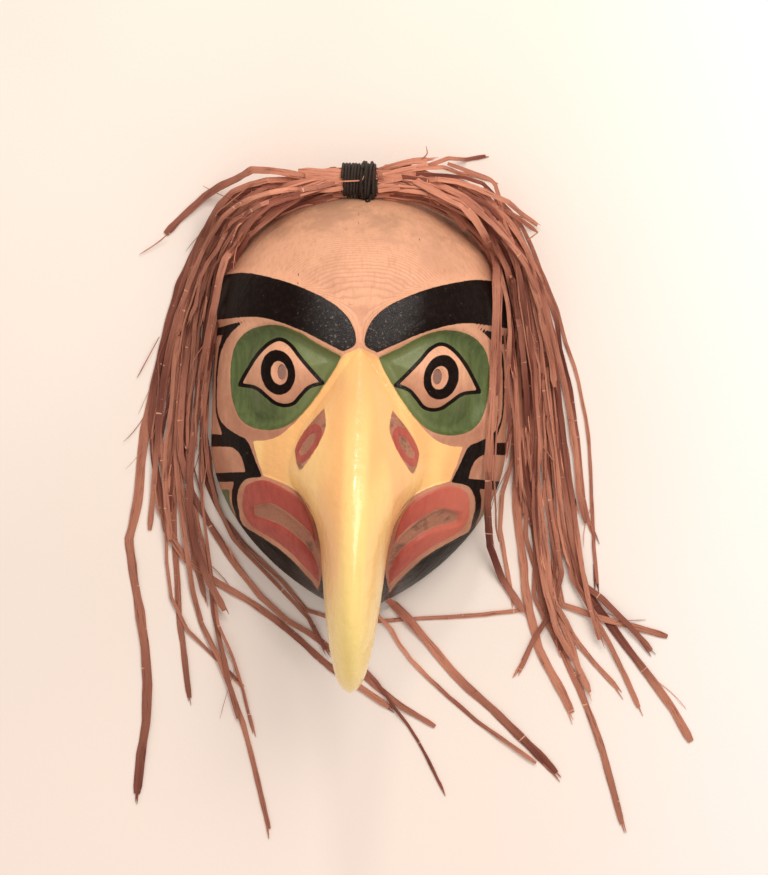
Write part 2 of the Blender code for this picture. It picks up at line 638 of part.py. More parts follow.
def lay_strip(name, width, route, surface, material):
    """One flat ribbon of bark, laid on whatever is already there."""
    line = smooth_line([(x * PART_X, y * PART_Y) for x, y in route], CROWDED_STEP / 7)
    if name.startswith(("left", "right")):
        line = line[int(np.argmax(np.abs(line[:, 0]) > STRIP_START * PART_X)):]
    line = smooth_line(line, CROWDED_STEP)
    crowded = min(CROWDED_STEPS, len(line) - 2)
    sparse = max(1, int(round((len(line) - 1 - crowded) * CROWDED_STEP / STRIP_STEP)))
    picks = np.linspace(crowded, len(line) - 1, sparse + 1).round().astype(int)
    shown = np.vstack([line[:crowded], line[picks]])
    half = width * PART_X / 2
    reach_out = half + MAP_MARGIN
    height = laid_heights(shown, reach_out, surface)
    middle = np.array(FRONT_VIEW_MIDDLE) * (PART_X, PART_Y)
    points = middle + (shown - middle) * (1 - height / FRONT_VIEW_DISTANCE)[:, None]
    height = laid_heights(points, reach_out, surface)
    tangent = np.gradient(points, axis=0)
    tangent /= np.linalg.norm(tangent, axis=1)[:, None]
    side = np.column_stack([-tangent[:, 1], tangent[:, 0]])
    vertices = []
    for k, (x, y) in enumerate(points):
        wide = half * (STRIP_TAPER if k in (0, len(points) - 1) else 1.0)
        for across, up in ((-1, 0), (1, 0), (1, 1), (-1, 1)):
            vertices.append((x + side[k, 0] * across * wide, y + side[k, 1] * across * wide,
                             height[k] + up * STRIP_THICKNESS))
    faces = ring_faces(0, len(points), 4)
    faces.append((0, 1, 2, 3))
    faces.append(tuple(range(4 * len(points) - 4, 4 * len(points))))
    for k in range(len(points) - 1):
        for n in range(LAYING_STEPS):
            start, end = n / LAYING_STEPS, (n + 1) / LAYING_STEPS
            tops = [height[k] + share * (height[k + 1] - height[k]) for share in (start, end)]
            run = points[k + 1] - points[k]
            surface.cover(points[k] + start * run, points[k] + end * run, reach_out,
                          max(tops) + STRIP_THICKNESS)
    return new_object(name, vertices, faces, material)


def main():
    for thing in list(bpy.data.objects):
        bpy.data.objects.remove(thing)
    wood = finish("painted_wood", WOOD_COLOUR, 0.5)
    bark = finish("cedar_bark", BARK_COLOUR, 0.8)
    cord = finish("black_cord", CORD_COLOUR, 0.6)

    mask = build_head(wood)
    place = binding_place()
    bundle = build_bundle(place, bark)
    binding = build_binding(place, cord)

    surface = HeightMap([v * PART_X for v in MAP_LOW], [v * PART_Y for v in MAP_HIGH])
    for thing in (mask, bundle, binding):
        surface.add_object(thing)
    pieces = [mask, bundle, binding]
    for group, strips in (("left", LEFT_STRIPS), ("right", RIGHT_STRIPS), ("crown", CROWN_STRIPS),
                          ("under", UNDER_STRIPS)):
        for number, (width, route) in enumerate(strips, 1):
            name = "%s_strip_%02d" % (group, number)
            pieces.append(lay_strip(name, width, route, surface, bark))

    beak = build_beak(wood)
    drills = [build_pupil(side, wood) for side in (-1, 1)]
    apply_booleans(mask, [("UNION", beak)] + [("DIFFERENCE", drill) for drill in drills])

    corners = [v.co for piece in pieces for v in piece.data.vertices]
    middle_x = (min(c.x for c in corners) + max(c.x for c in corners)) / 2
    middle_y = (min(c.y for c in corners) + max(c.y for c in corners)) / 2
    for piece in pieces:
        piece.location = (-middle_x, -middle_y, 0)


main()
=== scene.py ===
"""Eagle mask: painted cedar head, bark hair and cord binding, dressed for a studio view.

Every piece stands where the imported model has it. The mask lies on its back rim and the camera
looks down on its face. Face outlines are in parts, as the front view shows them: one part is a
millimetre at the mask's own size, across, down and deep.
"""
import math
import random

import bmesh
import bpy
import numpy as np
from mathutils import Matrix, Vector, noise


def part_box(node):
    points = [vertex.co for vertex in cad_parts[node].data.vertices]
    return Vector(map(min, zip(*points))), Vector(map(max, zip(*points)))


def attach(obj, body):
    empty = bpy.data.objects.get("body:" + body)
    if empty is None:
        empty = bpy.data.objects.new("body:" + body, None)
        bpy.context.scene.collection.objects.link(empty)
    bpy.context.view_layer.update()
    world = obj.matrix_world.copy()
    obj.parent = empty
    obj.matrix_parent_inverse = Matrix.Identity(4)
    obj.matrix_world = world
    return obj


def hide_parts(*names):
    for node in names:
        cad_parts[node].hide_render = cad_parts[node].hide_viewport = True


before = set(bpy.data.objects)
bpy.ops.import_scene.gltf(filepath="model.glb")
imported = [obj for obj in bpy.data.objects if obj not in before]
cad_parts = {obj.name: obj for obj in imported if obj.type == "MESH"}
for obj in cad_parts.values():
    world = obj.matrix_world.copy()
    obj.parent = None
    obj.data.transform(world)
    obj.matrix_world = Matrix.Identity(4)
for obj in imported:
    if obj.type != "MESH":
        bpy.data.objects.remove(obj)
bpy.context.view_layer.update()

RANDOM = random.Random(11)

# Sizes of the head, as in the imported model, in metres
HEAD_HALF_WIDTH = 0.1133
HEAD_HEIGHT = 0.320
HEAD_DEPTH = 0.108
WALL = 0.014
FRONT_VIEW_DISTANCE = 2.0
FRONT_VIEW_MIDDLE = (19.3, -28.3)
PARTS_ACROSS = 113.3
PARTS_DOWN = 320
PARTS_DEEP = 108
PART_X = HEAD_HALF_WIDTH / PARTS_ACROSS
PART_Y = HEAD_HEIGHT / PARTS_DOWN
PART_Z = HEAD_DEPTH / PARTS_DEEP
MM = 0.001

# The dome of the head, in parts
TOP_START = 45
CHIN_START = -32.7
TOP_LENGTH = 112.5
CHIN_LENGTH = 130.3
TOP_POWER = 2.3
CHIN_ACROSS_POWER = 1.3
CHIN_DOWN_POWER = 1.93
DOME_POWER = 2.2
GRID_MIDDLE = -30
FADE_HEIGHT = 0.03

# Where the middle of the face is in the frame: the mask's box is centred on it from side to
# side, and its highest point is the end of the dome
MASK_LOW, MASK_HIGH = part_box("mask")
FACE_X = (MASK_LOW[0] + MASK_HIGH[0]) / 2
FACE_Y = MASK_HIGH[1] - (TOP_START + TOP_LENGTH) * PART_Y

# Relief, in metres
BROW_RISE = 0.0035
SOCKET_DEPTH = 0.0075
EYE_BULGE = 0.0080
LIP_RISE = 0.0040
MOUTH_DEPTH = 0.0030
PUPIL_HALF_WIDTH = 0.0034
PUPIL_HALF_HEIGHT = 0.0056
PUPIL_DISH_DEPTH = 0.0040
NOSTRIL_RISE = 0.0012
LINE_GROOVE = 0.0004
STIPPLE_DEPTH = 0.00035
TOOL_MARK = 0.00022

# Facets
HEAD_RAYS = 360
HEAD_RINGS = 205
INNER_RINGS = 16
BEAK_STATIONS = 170
BEAK_SIDES = 32

# Outlines of one side of the face, each a list of smooth stretches that meet at corners
SOCKET = [
    [(14, 33), (33, 42.5), (47, 50.5), (62, 55.5), (76, 55), (88, 50), (96.5, 39.5), (99.5, 25), (99, 5),
     (94.5, -11.5), (86, -21.5), (72, -25.3), (58, -23), (46, -14.8), (34.5, -1.5), (20.5, 20.5),
     (14, 33)]]
BROW = [
    [(122, 90), (100, 94.5), (84, 94.8), (58, 89.2), (36, 81), (18, 71), (7, 58.5), (3.5, 43.5), (13, 37)],
    [(13, 37), (19.5, 40), (46, 52.3), (70, 60), (86, 61.5), (104, 59.5), (122, 57)],
    [(122, 57), (122, 90)]]
LIP = [
    [(91, -75), (86, -65), (71, -60.5), (54.5, -66.5), (41.5, -75), (33, -87.5), (27.5, -105),
     (24, -129), (23.3, -151)],
    [(23.3, -151), (33, -140), (50.5, -122.5), (65, -112), (82, -102), (90, -90), (91, -75)]]
MOUTH = [
    [(78, -84), (64, -82), (50, -90), (39, -99), (32, -108), (27, -120), (25, -136)],
    [(25, -136), (33, -118), (45, -106), (59, -97), (78, -91)],
    [(78, -91), (78, -84)]]
EYE = [
    [(92.5, 9), (87, 20), (79, 33), (70, 42), (62, 45), (54, 41), (46, 31.5), (37, 21.5), (28, 12.3)],
    [(28, 12.3), (38, 9), (44, 3), (50, -4), (57, -6), (64, -4.5), (71, 0.5), (80, 7), (92.5, 9)]]
BEAK_PAINT = [
    [(0, 40), (10, 35.5), (14.5, 33)],
    [(14.5, 33), (20.5, 20.5), (33.5, 0.5), (46, -15.5), (58.5, -28), (70, -33), (81, -33.9)],
    [(81, -33.9), (77, -47), (72, -60.5)],
    [(72, -60.5), (54.5, -66.7), (41.2, -75.5), (33, -87.5), (27.4, -104.5), (25, -124)],
    [(25, -124), (30, -240), (-30, -240), (-30, 45), (0, 40)]]
NOSTRIL = [
    [(26, -7), (37, -20), (45, -32), (47.8, -40.5)],
    [(47.8, -40.5), (46.5, -49), (43.1, -56.6)],
    [(43.1, -56.6), (35, -45), (27.5, -31), (24.3, -20.5), (26, -7)]]
NOSTRIL_RING = [
    [(31, -19), (38.5, -23.5), (45, -33), (47.5, -41), (45.5, -47.5), (41.5, -50.5), (34.5, -43.5),
     (28.5, -33), (26.5, -24), (31, -19)]]
NOSTRIL_MIDDLE = [
    [(32.5, -26.5), (37, -29), (41.5, -35.5), (44, -41.5), (42, -44), (37.5, -41), (33, -33.5),
     (31, -28.5), (32.5, -26.5)]]
BAND = [
    [(89.5, 58.4), (97, 52.0), (102.2, 45.9), (106.6, 37.4), (108.6, 29.8), (109.8, 18), (109.9, -1.9),
     (109, -12.2), (106.3, -19.2), (101, -24.6), (93, -29.4), (86.8, -32.1)],
    [(86.8, -32.1), (83.9, -35.8), (81.9, -40.4), (78, -49.6), (72.5, -61.6)],
    [(72.5, -61.6), (81.3, -62.4), (86.9, -64.8), (90.4, -70.5), (91.8, -78), (90.3, -87.3),
     (88.2, -96.6), (85.2, -103)],
    [(85.2, -103), (90.6, -97.5), (94.6, -86.5), (96, -80), (95.9, -72.5), (94.3, -65.6)],
    [(94.3, -65.6), (104.1, -66.2), (125, -66.5)],
    [(125, -66.5), (125, -60)],
    [(125, -60), (106, -59.3), (93.6, -58.4), (85.9, -58.1)],
    [(85.9, -58.1), (87.7, -50.8), (90.5, -44.5), (94.6, -40.7), (100.6, -39), (125, -39.8)],
    [(125, -39.8), (125, -29.5)],
    [(125, -29.5), (111.3, -29.6), (104.7, -30)],
    [(104.7, -30), (107.4, -22.5), (110.2, -13.2), (111.1, -2), (111.3, 16.6), (110.5, 28),
     (109.4, 37.3), (106.8, 47.1)],
    [(106.8, 47.1), (112.6, 45.6), (125, 42)],
    [(125, 42), (125, 51)],
    [(125, 50), (112.6, 51.9), (101, 55.4), (89.5, 58.4)]]
JAW = [
    [(92, -96), (88, -98.2), (82, -102), (65, -112), (50.5, -122.5), (33, -140), (23.3, -151), (0, -155)],
    [(0, -155), (-30, -155), (-30, -240), (90, -240), (130, -105), (92, -96)]]
CHEEK_PATCH = [
    [(112, -73), (97.9, -71.7)],
    [(97.9, -71.7), (97.7, -80.1), (95.5, -87.5), (91.8, -95.9)],
    [(91.8, -95.9), (97, -92), (106, -84), (112, -73)]]
UNDER_BEAK = [
    [(-30, -92), (26, -92), (24, -129), (23.3, -160), (-30, -160), (-30, -92)]]

# Short drying cracks in the forehead, on their own side
CHECKS = [[(-4.6, 144), (-5.0, 139), (-4.4, 135.5)], [(-50, 101), (-49.2, 94), (-49.6, 87)],
          [(39, 148), (37.4, 144)], [(42.5, 128.5), (43, 124.5)]]

# Widths of the relief, and painted lines and rings, in parts
SOCKET_WALL = 9.0
ORB_START = 3.0
ORB_REACH = 25.0
EYE_LINE = 1.45
RING_MIDDLE = (62.9, 19.4)
RING_HALF = (13.3, 17.4)
HOLE_MIDDLE = (61.8, 19.0)
RING_HOLE = (6.5, 9.1)
RING_TILT = math.radians(11)
PUPIL_MIDDLE = (59.9, 19.8)
LIP_RIM = 3.4
BEAK_EDGE_RED = 6.0
BEAK_EDGE_TOP = -92
BEAK_EDGE_END = -181
BEAK_EDGE_START = 6
UNDER_BEAK_TOP = -122
FACE_YELLOW_END = -100
UNPAINTED = -9.0
HIDDEN = -50.0
NO_CRACK = 99.0

# The beak, station by station from the brow to the tip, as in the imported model
BEAK_STATION_LIST = [
    # ridge y, ridge z, keel y, keel z, half width, flank power, rooted share
    (40.5, 105, 38.5, 100, 4, 1.40, 1),
    (18.5, 117, 18.5, 100, 18, 1.40, 1),
    (-2, 127.5, -1.5, 100, 32, 1.35, 1),
    (-24, 140, -21.5, 100, 46, 1.30, 1),
    (-46, 151.5, -43.5, 99, 53, 1.20, 1),
    (-64, 160.5, -58.5, 98, 51, 1.05, 1),
    (-82, 168, -72.5, 95, 40, 0.80, 1),
    (-100, 174, -85, 91, 30.5, 0.65, 0.7),
    (-120.5, 178.5, -99, 87, 25.6, 0.60, 0.3),
    (-140.5, 180, -113, 89, 23.6, 0.60, 0),
    (-159.5, 176.5, -128, 98, 21.8, 0.60, 0),
    (-176.5, 168.5, -146, 106, 19.7, 0.60, 0),
    (-191.5, 156.5, -165, 110, 17.2, 0.60, 0),
    (-203, 143.5, -183, 111, 14.2, 0.60, 0),
    (-210, 130.5, -197, 110.5, 11.0, 0.60, 0),
    (-213.5, 118, -206.5, 108.5, 7.2, 0.60, 0),
    (-215.2, 109, -212, 105.5, 2.6, 0.60, 0),
]
BEAK_SECTION_POWER = 1.9
BEAK_KEEL_SHARE = 0.22
BEAK_ROOT_DEPTH = 0.004

# Colours of the bark, as red, green and blue on the screen
BARK_DARK = (116, 58, 46)
BARK_LIGHT = (228, 154, 124)
BARK_STREAK = (190, 112, 88)
# The dark fibre colour also serves as painted shade on the bark
BARK_FIBRE_AND_SHADE = (80, 36, 30)
BARK_MARK = (244, 188, 160)
STRIP_TOP = 0.0010
SHORTEST_STRETCH = 0.014
LONGEST_STRETCH = 0.040
TIP_LENGTH = 0.006
STEP_ALONG = 0.003
LEAST_GAP = 0.0003
BUNDLE_STRANDS = 26
TWINE_RADIUS = 0.00115
TWINE_PITCH = 0.0024
TURN_STEPS = 44
CHIN_REACH = 0.008
BLEND_STEPS = 89
INNER_STRIPS = 11
LOOSE_FIBRES = 26

# Inner edge of the locks beside the head, and pieces given one by one, as the front view shows
# them in parts, with the height of each point over the table: across, up, high
LEFT_INNER = [(-20, 155, 34), (-50, 147, 34), (-77, 134, 32), (-93, 117, 36), (-105, 97, 32),
              (-111, 60, 26), (-117, 8, 18), (-121, -45, 8), (-112, -95, 3)]
RIGHT_INNER = [(12, 156, 34), (40, 153, 36), (61, 145, 40), (79, 135, 36), (91, 122, 36),
               (100, 108, 36), (105, 90, 34), (110, 50, 26), (117, 0, 16), (122, -60, 8), (128, -110, 3)]
BUNDLE_PIECES = [
    (5.0, [(-15, 158.5, 38), (-22, 158, 38), (-34, 156, 36)]),
    (5.0, [(6, 158.5, 38), (14, 159, 38), (27, 158.5, 36)]),
    (11.5, [(-18, 171, 44.5), (-25, 171.5, 46.5), (-38, 171.5, 46.5), (-53, 172.0, 46)]),
    (9.0, [(9, 171, 44.5), (16, 172.5, 47), (27, 174, 47.5), (38, 175.5, 46.5)]),
    (6.5, [(9, 163, 44.5), (20, 164.5, 46.5), (36, 165.5, 46)]),
    (4.2, [(9, 177, 42), (20, 181, 45), (33, 184.5, 47), (46, 186.5, 47)]),
    (3.0, [(12, 174, 47.5), (30, 179, 48.5), (47, 183, 48)]),
    (6.4, [(30, 173, 47.5), (37, 169, 49), (50, 160, 50), (66, 147, 47), (78, 134, 44)]),
    (3.6, [(-18, 163, 44.5), (-28, 161, 46.5), (-50, 159, 44), (-66, 152, 42)]),
]
THREADS = [
    (0.8, [(-152, 123, 6), (-160, 116, 4), (-173, 107, 2)]),
    (0.7, [(-156, 44, 5), (-164, 28, 3), (-172, 12, 1.5)]),
    (0.6, [(-165, -72, 2), (-170, -84, 1.2), (-172, -100, 1)]),
    (1.0, [(42, 187, 48), (46, 191, 49), (45, 197, 49)]),
    (3.0, [(62, 184, 46), (80, 178, 44), (96, 172, 42), (101, 163, 40), (106, 145, 38)]),
    (3.6, [(97, 156, 40), (114, 146, 30), (133, 133, 22)]),
    (0.9, [(133, 133, 22), (128, 129, 20), (124, 126, 18)]),
    (1.0, [(-88, 138, 34), (-93, 148, 30), (-96, 160, 24)]),
    (2.0, [(-98, 134, 32), (-101, 141, 30), (-104, 148, 26)]),
]

# Camera: straight over the face, turned so that the mask leans as it does in the picture
CAMERA_TURN = math.radians(1.7)
MM_PER_PIXEL = 0.77
PICTURE_HEIGHT = 875
SENSOR = 36.0
FLOOR_SIZE = 8.0

# Light: the sky, and each lamp's kind, size, watts, colour, place and the point it is turned to
SKY_COLOUR = (1.0, 0.95, 0.90, 1.0)
SKY_STRENGTH = 0.67
LAMPS = [
    ("key_light", "AREA", 0.9, 15, (1.0, 0.95, 0.90), (0.55, 0.85, 1.5), (0, 0, 0.05)),
    ("small_light", "AREA", 0.16, 3.2, (1.0, 0.97, 0.93), (-0.08, 1.1, 1.1), (0, 0, 0.08)),
    ("light_inside", "POINT", 0.02, 0.05, (1.0, 1.0, 1.0), (FACE_X, FACE_Y + 0.02, 0.03),
     (FACE_X, FACE_Y, HEAD_DEPTH)),
]


def rgb(red, green, blue):
    """A colour named by its 0 to 255 screen values, as the shader wants it."""
    return tuple(((v / 255 + 0.055) / 1.055) ** 2.4 for v in (red, green, blue)) + (1.0,)


def smooth_step(value, low, high):
    """0 below low, 1 above high, and a soft ramp between."""
    t = np.clip((value - low) / (high - low), 0, 1)
    return t * t * (3 - 2 * t)


def run_length(line):
    """How far along a line each of its points is."""
    return np.concatenate([[0], np.cumsum(np.linalg.norm(np.diff(line, axis=0), axis=1))])


def even_points(line, count):
    """A line cut into count equal lengths."""
    length = run_length(line)
    places = np.linspace(0, length[-1], count + 1)
    return np.column_stack([np.interp(places, length, line[:, k]) for k in range(line.shape[1])])


def smooth_line(points, step):
    """Points about step apart on a smooth curve through the given ones, in any number of axes."""
    points = np.array(points, dtype=float)
    ends = np.vstack([2 * points[0] - points[1], points, 2 * points[-1] - points[-2]])
    line = []
    for i in range(1, len(points)):
        a, b, c, d = ends[i - 1], ends[i], ends[i + 1], ends[i + 2]
        for t in np.arange(0, 1, 0.05):
            line.append(0.5 * (2 * b + (c - a) * t + (2 * a - 5 * b + 4 * c - d) * t ** 2
                               + (3 * b - a - 3 * c + d) * t ** 3))
    line.append(points[-1])
    line = np.array(line)
    return even_points(line, max(2, int(round(run_length(line)[-1] / step))))


def straight_line(points, step):
    """Points about step apart on the straight stretches between the given ones."""
    points = np.array(points, dtype=float)
    return even_points(points, max(2, int(round(run_length(points)[-1] / step))))


def inside_distance(x, y, outline):
    """Distance in parts from each point to a closed outline, positive inside it."""
    corners = np.vstack([smooth_line(stretch, 2.0)[:-1] for stretch in outline])
    after = np.roll(corners, -1, axis=0)
    nearest = np.full(x.shape, 1e9)
    inside = np.zeros(x.shape, dtype=bool)
    for (ax, ay), (bx, by) in zip(corners, after):
        dx, dy = bx - ax, by - ay
        if dx == 0 and dy == 0:
            continue
        t = np.clip(((x - ax) * dx + (y - ay) * dy) / (dx * dx + dy * dy), 0, 1)
        nearest = np.minimum(nearest, (x - ax - t * dx) ** 2 + (y - ay - t * dy) ** 2)
        if dy:
            crosses = (ay > y) != (by > y)
            inside ^= crosses & (x < ax + (y - ay) * dx / dy)
    nearest = np.sqrt(nearest)
    return np.where(inside, nearest, -nearest)


def line_distance(x, y, line):
    """Distance in parts from each point to an open line."""
    nearest = np.full(x.shape, 1e9)
    for (ax, ay), (bx, by) in zip(line[:-1], line[1:]):
        dx, dy = bx - ax, by - ay
        t = np.clip(((x - ax) * dx + (y - ay) * dy) / (dx * dx + dy * dy), 0, 1)
        nearest = np.minimum(nearest, (x - ax - t * dx) ** 2 + (y - ay - t * dy) ** 2)
    return np.sqrt(nearest)


def ellipse_distance(u, v, middle, half, tilt):
    """About how far each point is inside a tilted ellipse, in parts."""
    du, dv = u - middle[0], v - middle[1]
    across = du * math.cos(tilt) - dv * math.sin(tilt)
    along = du * math.sin(tilt) + dv * math.cos(tilt)
    size = np.sqrt((across / half[0]) ** 2 + (along / half[1]) ** 2)
    return (1 - size) * min(half)


def reach(x, y, inset):
    """How far out a point is: 0 on the middle line, 1 on the outline, drawn in by inset."""
    across = np.abs(x) / (HEAD_HALF_WIDTH - inset)
    up = np.maximum(y - TOP_START * PART_Y, 0) / (TOP_LENGTH * PART_Y - inset)
    down = np.maximum(CHIN_START * PART_Y - y, 0) / (CHIN_LENGTH * PART_Y - inset)
    top = (across ** TOP_POWER + up ** TOP_POWER) ** (1 / TOP_POWER)
    chin = (across ** CHIN_ACROSS_POWER + down ** CHIN_DOWN_POWER) ** (1 / CHIN_ACROSS_POWER)
    return np.where(down > 0, chin, top)


def dome(x, y, inset=0.0):
    """Height of the smooth head over the back rim."""
    share = np.clip(reach(x, y, inset), 0, 1) ** DOME_POWER
    return (HEAD_DEPTH - inset) * np.sqrt(1 - share)


def grid(rings, inset):
    """Rings of plan points from the middle of the face to its outline."""
    angles = 2 * math.pi * (np.arange(HEAD_RAYS) + 0.5) / HEAD_RAYS
    low = np.zeros(HEAD_RAYS)
    high = np.full(HEAD_RAYS, 2 * (HEAD_HALF_WIDTH + HEAD_HEIGHT))
    for _ in range(50):
        middle = (low + high) / 2
        y = GRID_MIDDLE * PART_Y + middle * np.sin(angles)
        within = reach(middle * np.cos(angles), y, inset) < 1
        low = np.where(within, middle, low)
        high = np.where(within, high, middle)
    shares = np.sin(0.5 * math.pi * np.arange(1, rings + 1) / rings) ** 0.92
    x = shares[:, None] * low * np.cos(angles)
    y = GRID_MIDDLE * PART_Y + shares[:, None] * low * np.sin(angles)
    return x, y


def front_view(x, y, z):
    """Where points show in the front view, in parts, with both sides of the face as one."""
    nearer = 1 / (1 - z / FRONT_VIEW_DISTANCE)
    middle = FRONT_VIEW_MIDDLE[1]
    return np.abs(x) * nearer / PART_X, middle + (y / PART_Y - middle) * nearer


def relief(u, v):
    """Height of the carving over the smooth head."""
    socket = inside_distance(u, v, SOCKET)
    wall = 1 - (1 - np.clip((socket + 0.6) / SOCKET_WALL, 0, 1)) ** 2
    orb = smooth_step(socket, ORB_START, ORB_START + ORB_REACH) ** 0.8
    brow = smooth_step(inside_distance(u, v, BROW), -7, 4)
    lip = smooth_step(inside_distance(u, v, LIP), -1, 3.5)
    mouth = smooth_step(inside_distance(u, v, MOUTH), -1.5, 1.5)
    dish = ellipse_distance(u, v, HOLE_MIDDLE, RING_HOLE, RING_TILT)
    dish = smooth_step(dish, 0, RING_HOLE[0] * 0.75)
    return (BROW_RISE * brow - SOCKET_DEPTH * wall + EYE_BULGE * orb
            + LIP_RISE * lip - MOUTH_DEPTH * mouth - PUPIL_DISH_DEPTH * dish)


def carved_point(x, y):
    """Points of the carved surface: the dome, pushed out along its normal by the relief."""
    step = 0.0005
    z = dome(x, y)
    across = (dome(x + step, y) - dome(x - step, y)) / (2 * step)
    along = (dome(x, y + step) - dome(x, y - step)) / (2 * step)
    height = relief(*front_view(x, y, z)) * smooth_step(z, 0.0, FADE_HEIGHT)
    flat = 1 / np.sqrt(across ** 2 + along ** 2 + 1)
    return x - across * flat * height, y - along * flat * height, z + flat * height


def ring_faces(start, rings, around):
    """Quads between rings of vertices that follow one another."""
    faces = []
    for k in range(rings - 1):
        for i in range(around):
            j = (i + 1) % around
            a, b = start + k * around + i, start + k * around + j
            faces.append((a, b, b + around, a + around))
    return faces


def new_object(name, vertices, faces, material, smooth_angle=math.radians(40)):
    """One closed mesh object, its faces turned outwards."""
    mesh = bpy.data.meshes.new(name)
    mesh.from_pydata([tuple(v) for v in vertices], [], faces)
    shell = bmesh.new()
    shell.from_mesh(mesh)
    bmesh.ops.recalc_face_normals(shell, faces=shell.faces)
    shell.to_mesh(mesh)
    shell.free()
    mesh.shade_smooth()
    mesh.set_sharp_from_angle(angle=smooth_angle)
    mesh.materials.append(material)
    thing = bpy.data.objects.new(name, mesh)
    bpy.context.scene.collection.objects.link(thing)
    return thing


def mark_slot(thing, slot):
    """Gives every face of an object one of two equal material slots, so that it can be told later."""
    thing.data.materials.append(thing.data.materials[0])
    thing.data.polygons.foreach_set("material_index", [slot] * len(thing.data.polygons))


def set_attribute(mesh, name, values):
    """One number for each vertex, for the shader to read."""
    layer = mesh.attributes.new(name, "FLOAT", "POINT")
    layer.data.foreach_set("value", np.asarray(values, dtype=np.float32))


# The mask

def build_head(material):
    """The hollow head without its beak, open at the back."""
    x, y = grid(HEAD_RINGS, 0.0)
    cx, cy, cz = carved_point(x[:-1], y[:-1])
    outer = [np.column_stack([cx[k], cy[k], cz[k]]) for k in range(HEAD_RINGS - 1)]
    outer.append(np.column_stack([x[-1], y[-1], np.zeros(HEAD_RAYS)]))
    ix, iy = grid(INNER_RINGS, WALL)
    inner = [np.column_stack([ix[k], iy[k], dome(ix[k], iy[k], WALL)]) for k in range(INNER_RINGS - 1)]
    inner.append(np.column_stack([ix[-1], iy[-1], np.zeros(HEAD_RAYS)]))
    middle_y = GRID_MIDDLE * PART_Y
    tops = [(0, middle_y, float(dome(np.array(0.0), np.array(middle_y)))),
            (0, middle_y, float(dome(np.array(0.0), np.array(middle_y), WALL)))]
    vertices = [tuple(p) for ring in outer + inner[::-1] for p in ring] + tops
    rings = HEAD_RINGS + INNER_RINGS
    faces = ring_faces(0, rings, HEAD_RAYS)
    last = (rings - 1) * HEAD_RAYS
    for i in range(HEAD_RAYS):
        j = (i + 1) % HEAD_RAYS
        faces.append((rings * HEAD_RAYS, j, i))
        faces.append((rings * HEAD_RAYS + 1, last + i, last + j))
    return new_object("carved_mask", vertices, faces, material)


def beak_sections():
    """Foot point, ridge point, keel point, half width and flank power of every beak station."""
    stations = smooth_line(BEAK_STATION_LIST, 1.0)
    picks = np.linspace(0, len(stations) - 1, BEAK_STATIONS).round().astype(int)
    for ridge_y, ridge_z, keel_y, keel_z, half, flank, rooted in stations[picks]:
        ridge = np.array([0, ridge_y * PART_Y, ridge_z * PART_Z])
        keel = np.array([0, keel_y * PART_Y, keel_z * PART_Z])
        foot = keel + (ridge - keel) * BEAK_KEEL_SHARE
        sunk = float(dome(np.array(half * PART_X), np.array(foot[1]))) - BEAK_ROOT_DEPTH
        foot[2] += rooted * (sunk - foot[2])
        yield foot, ridge, keel, half, flank


def build_beak(material):
    """The beak as sections across its ridge line, its root sunk into the head."""
    vertices = []
    for foot, ridge, keel, half, flank in beak_sections():
        for k in range(-BEAK_SIDES, BEAK_SIDES + 1):
            across = math.sin(0.5 * math.pi * k / BEAK_SIDES)
            rise = (1 - abs(across) ** BEAK_SECTION_POWER) ** flank
            point = foot + (ridge - foot) * rise
            point[0] = across * half * PART_X
            vertices.append(tuple(point))
        vertices.append(tuple(keel))
    around = 2 * BEAK_SIDES + 2
    faces = ring_faces(0, BEAK_STATIONS, around)
    faces.append(tuple(range(around)))
    faces.append(tuple(range((BEAK_STATIONS - 1) * around, BEAK_STATIONS * around)))
    return new_object("beak_form", vertices, faces, material)


def build_pupil(side, material):
    """A drill for one pupil, through the front of the head."""
    z = float(dome(np.array(PUPIL_MIDDLE[0] * PART_X), np.array(PUPIL_MIDDLE[1] * PART_Y)))
    farther = 1 - z / FRONT_VIEW_DISTANCE
    middle = FRONT_VIEW_MIDDLE[1]
    shell = bmesh.new()
    bmesh.ops.create_cone(shell, cap_ends=True, segments=48, radius1=1.0, radius2=1.0, depth=1.0)
    mesh = bpy.data.meshes.new("pupil_drill")
    shell.to_mesh(mesh)
    shell.free()
    for vertex in mesh.vertices:
        vertex.co = Vector((vertex.co.x * PUPIL_HALF_WIDTH, vertex.co.y * PUPIL_HALF_HEIGHT,
                            vertex.co.z * 2 * HEAD_DEPTH))
    mesh.materials.append(material)
    drill = bpy.data.objects.new("pupil_drill", mesh)
    bpy.context.scene.collection.objects.link(drill)
    drill.location = (side * PUPIL_MIDDLE[0] * PART_X * farther,
                      (middle + (PUPIL_MIDDLE[1] - middle) * farther) * PART_Y, HEAD_DEPTH)
    return drill


def apply_booleans(target, tools):
    """Join or cut with each tool in turn, then drop the tools."""
    for operation, tool in tools:
        modifier = target.modifiers.new(operation.lower(), "BOOLEAN")
        modifier.operation = operation
        modifier.solver = "EXACT"
        modifier.object = tool
    bpy.context.view_layer.update()
    evaluated = target.evaluated_get(bpy.context.evaluated_depsgraph_get())
    mesh = bpy.data.meshes.new_from_object(evaluated)
    target.modifiers.clear()
    target.data = mesh
    for _, tool in tools:
        bpy.data.objects.remove(tool)


def vertex_arrays(mesh):
    """Places and normals of a mesh's vertices."""
    places = np.empty(len(mesh.vertices) * 3)
    mesh.vertices.foreach_get("co", places)
    normals = np.empty(len(mesh.vertices) * 3)
    mesh.vertices.foreach_get("normal", normals)
    return places.reshape(-1, 3), normals.reshape(-1, 3)


def noise_at(places, scale, shift):
    """Smooth noise from -1 to 1 at each place."""
    return np.array([noise.noise(Vector(p) * scale + Vector((shift, shift, shift))) for p in places])


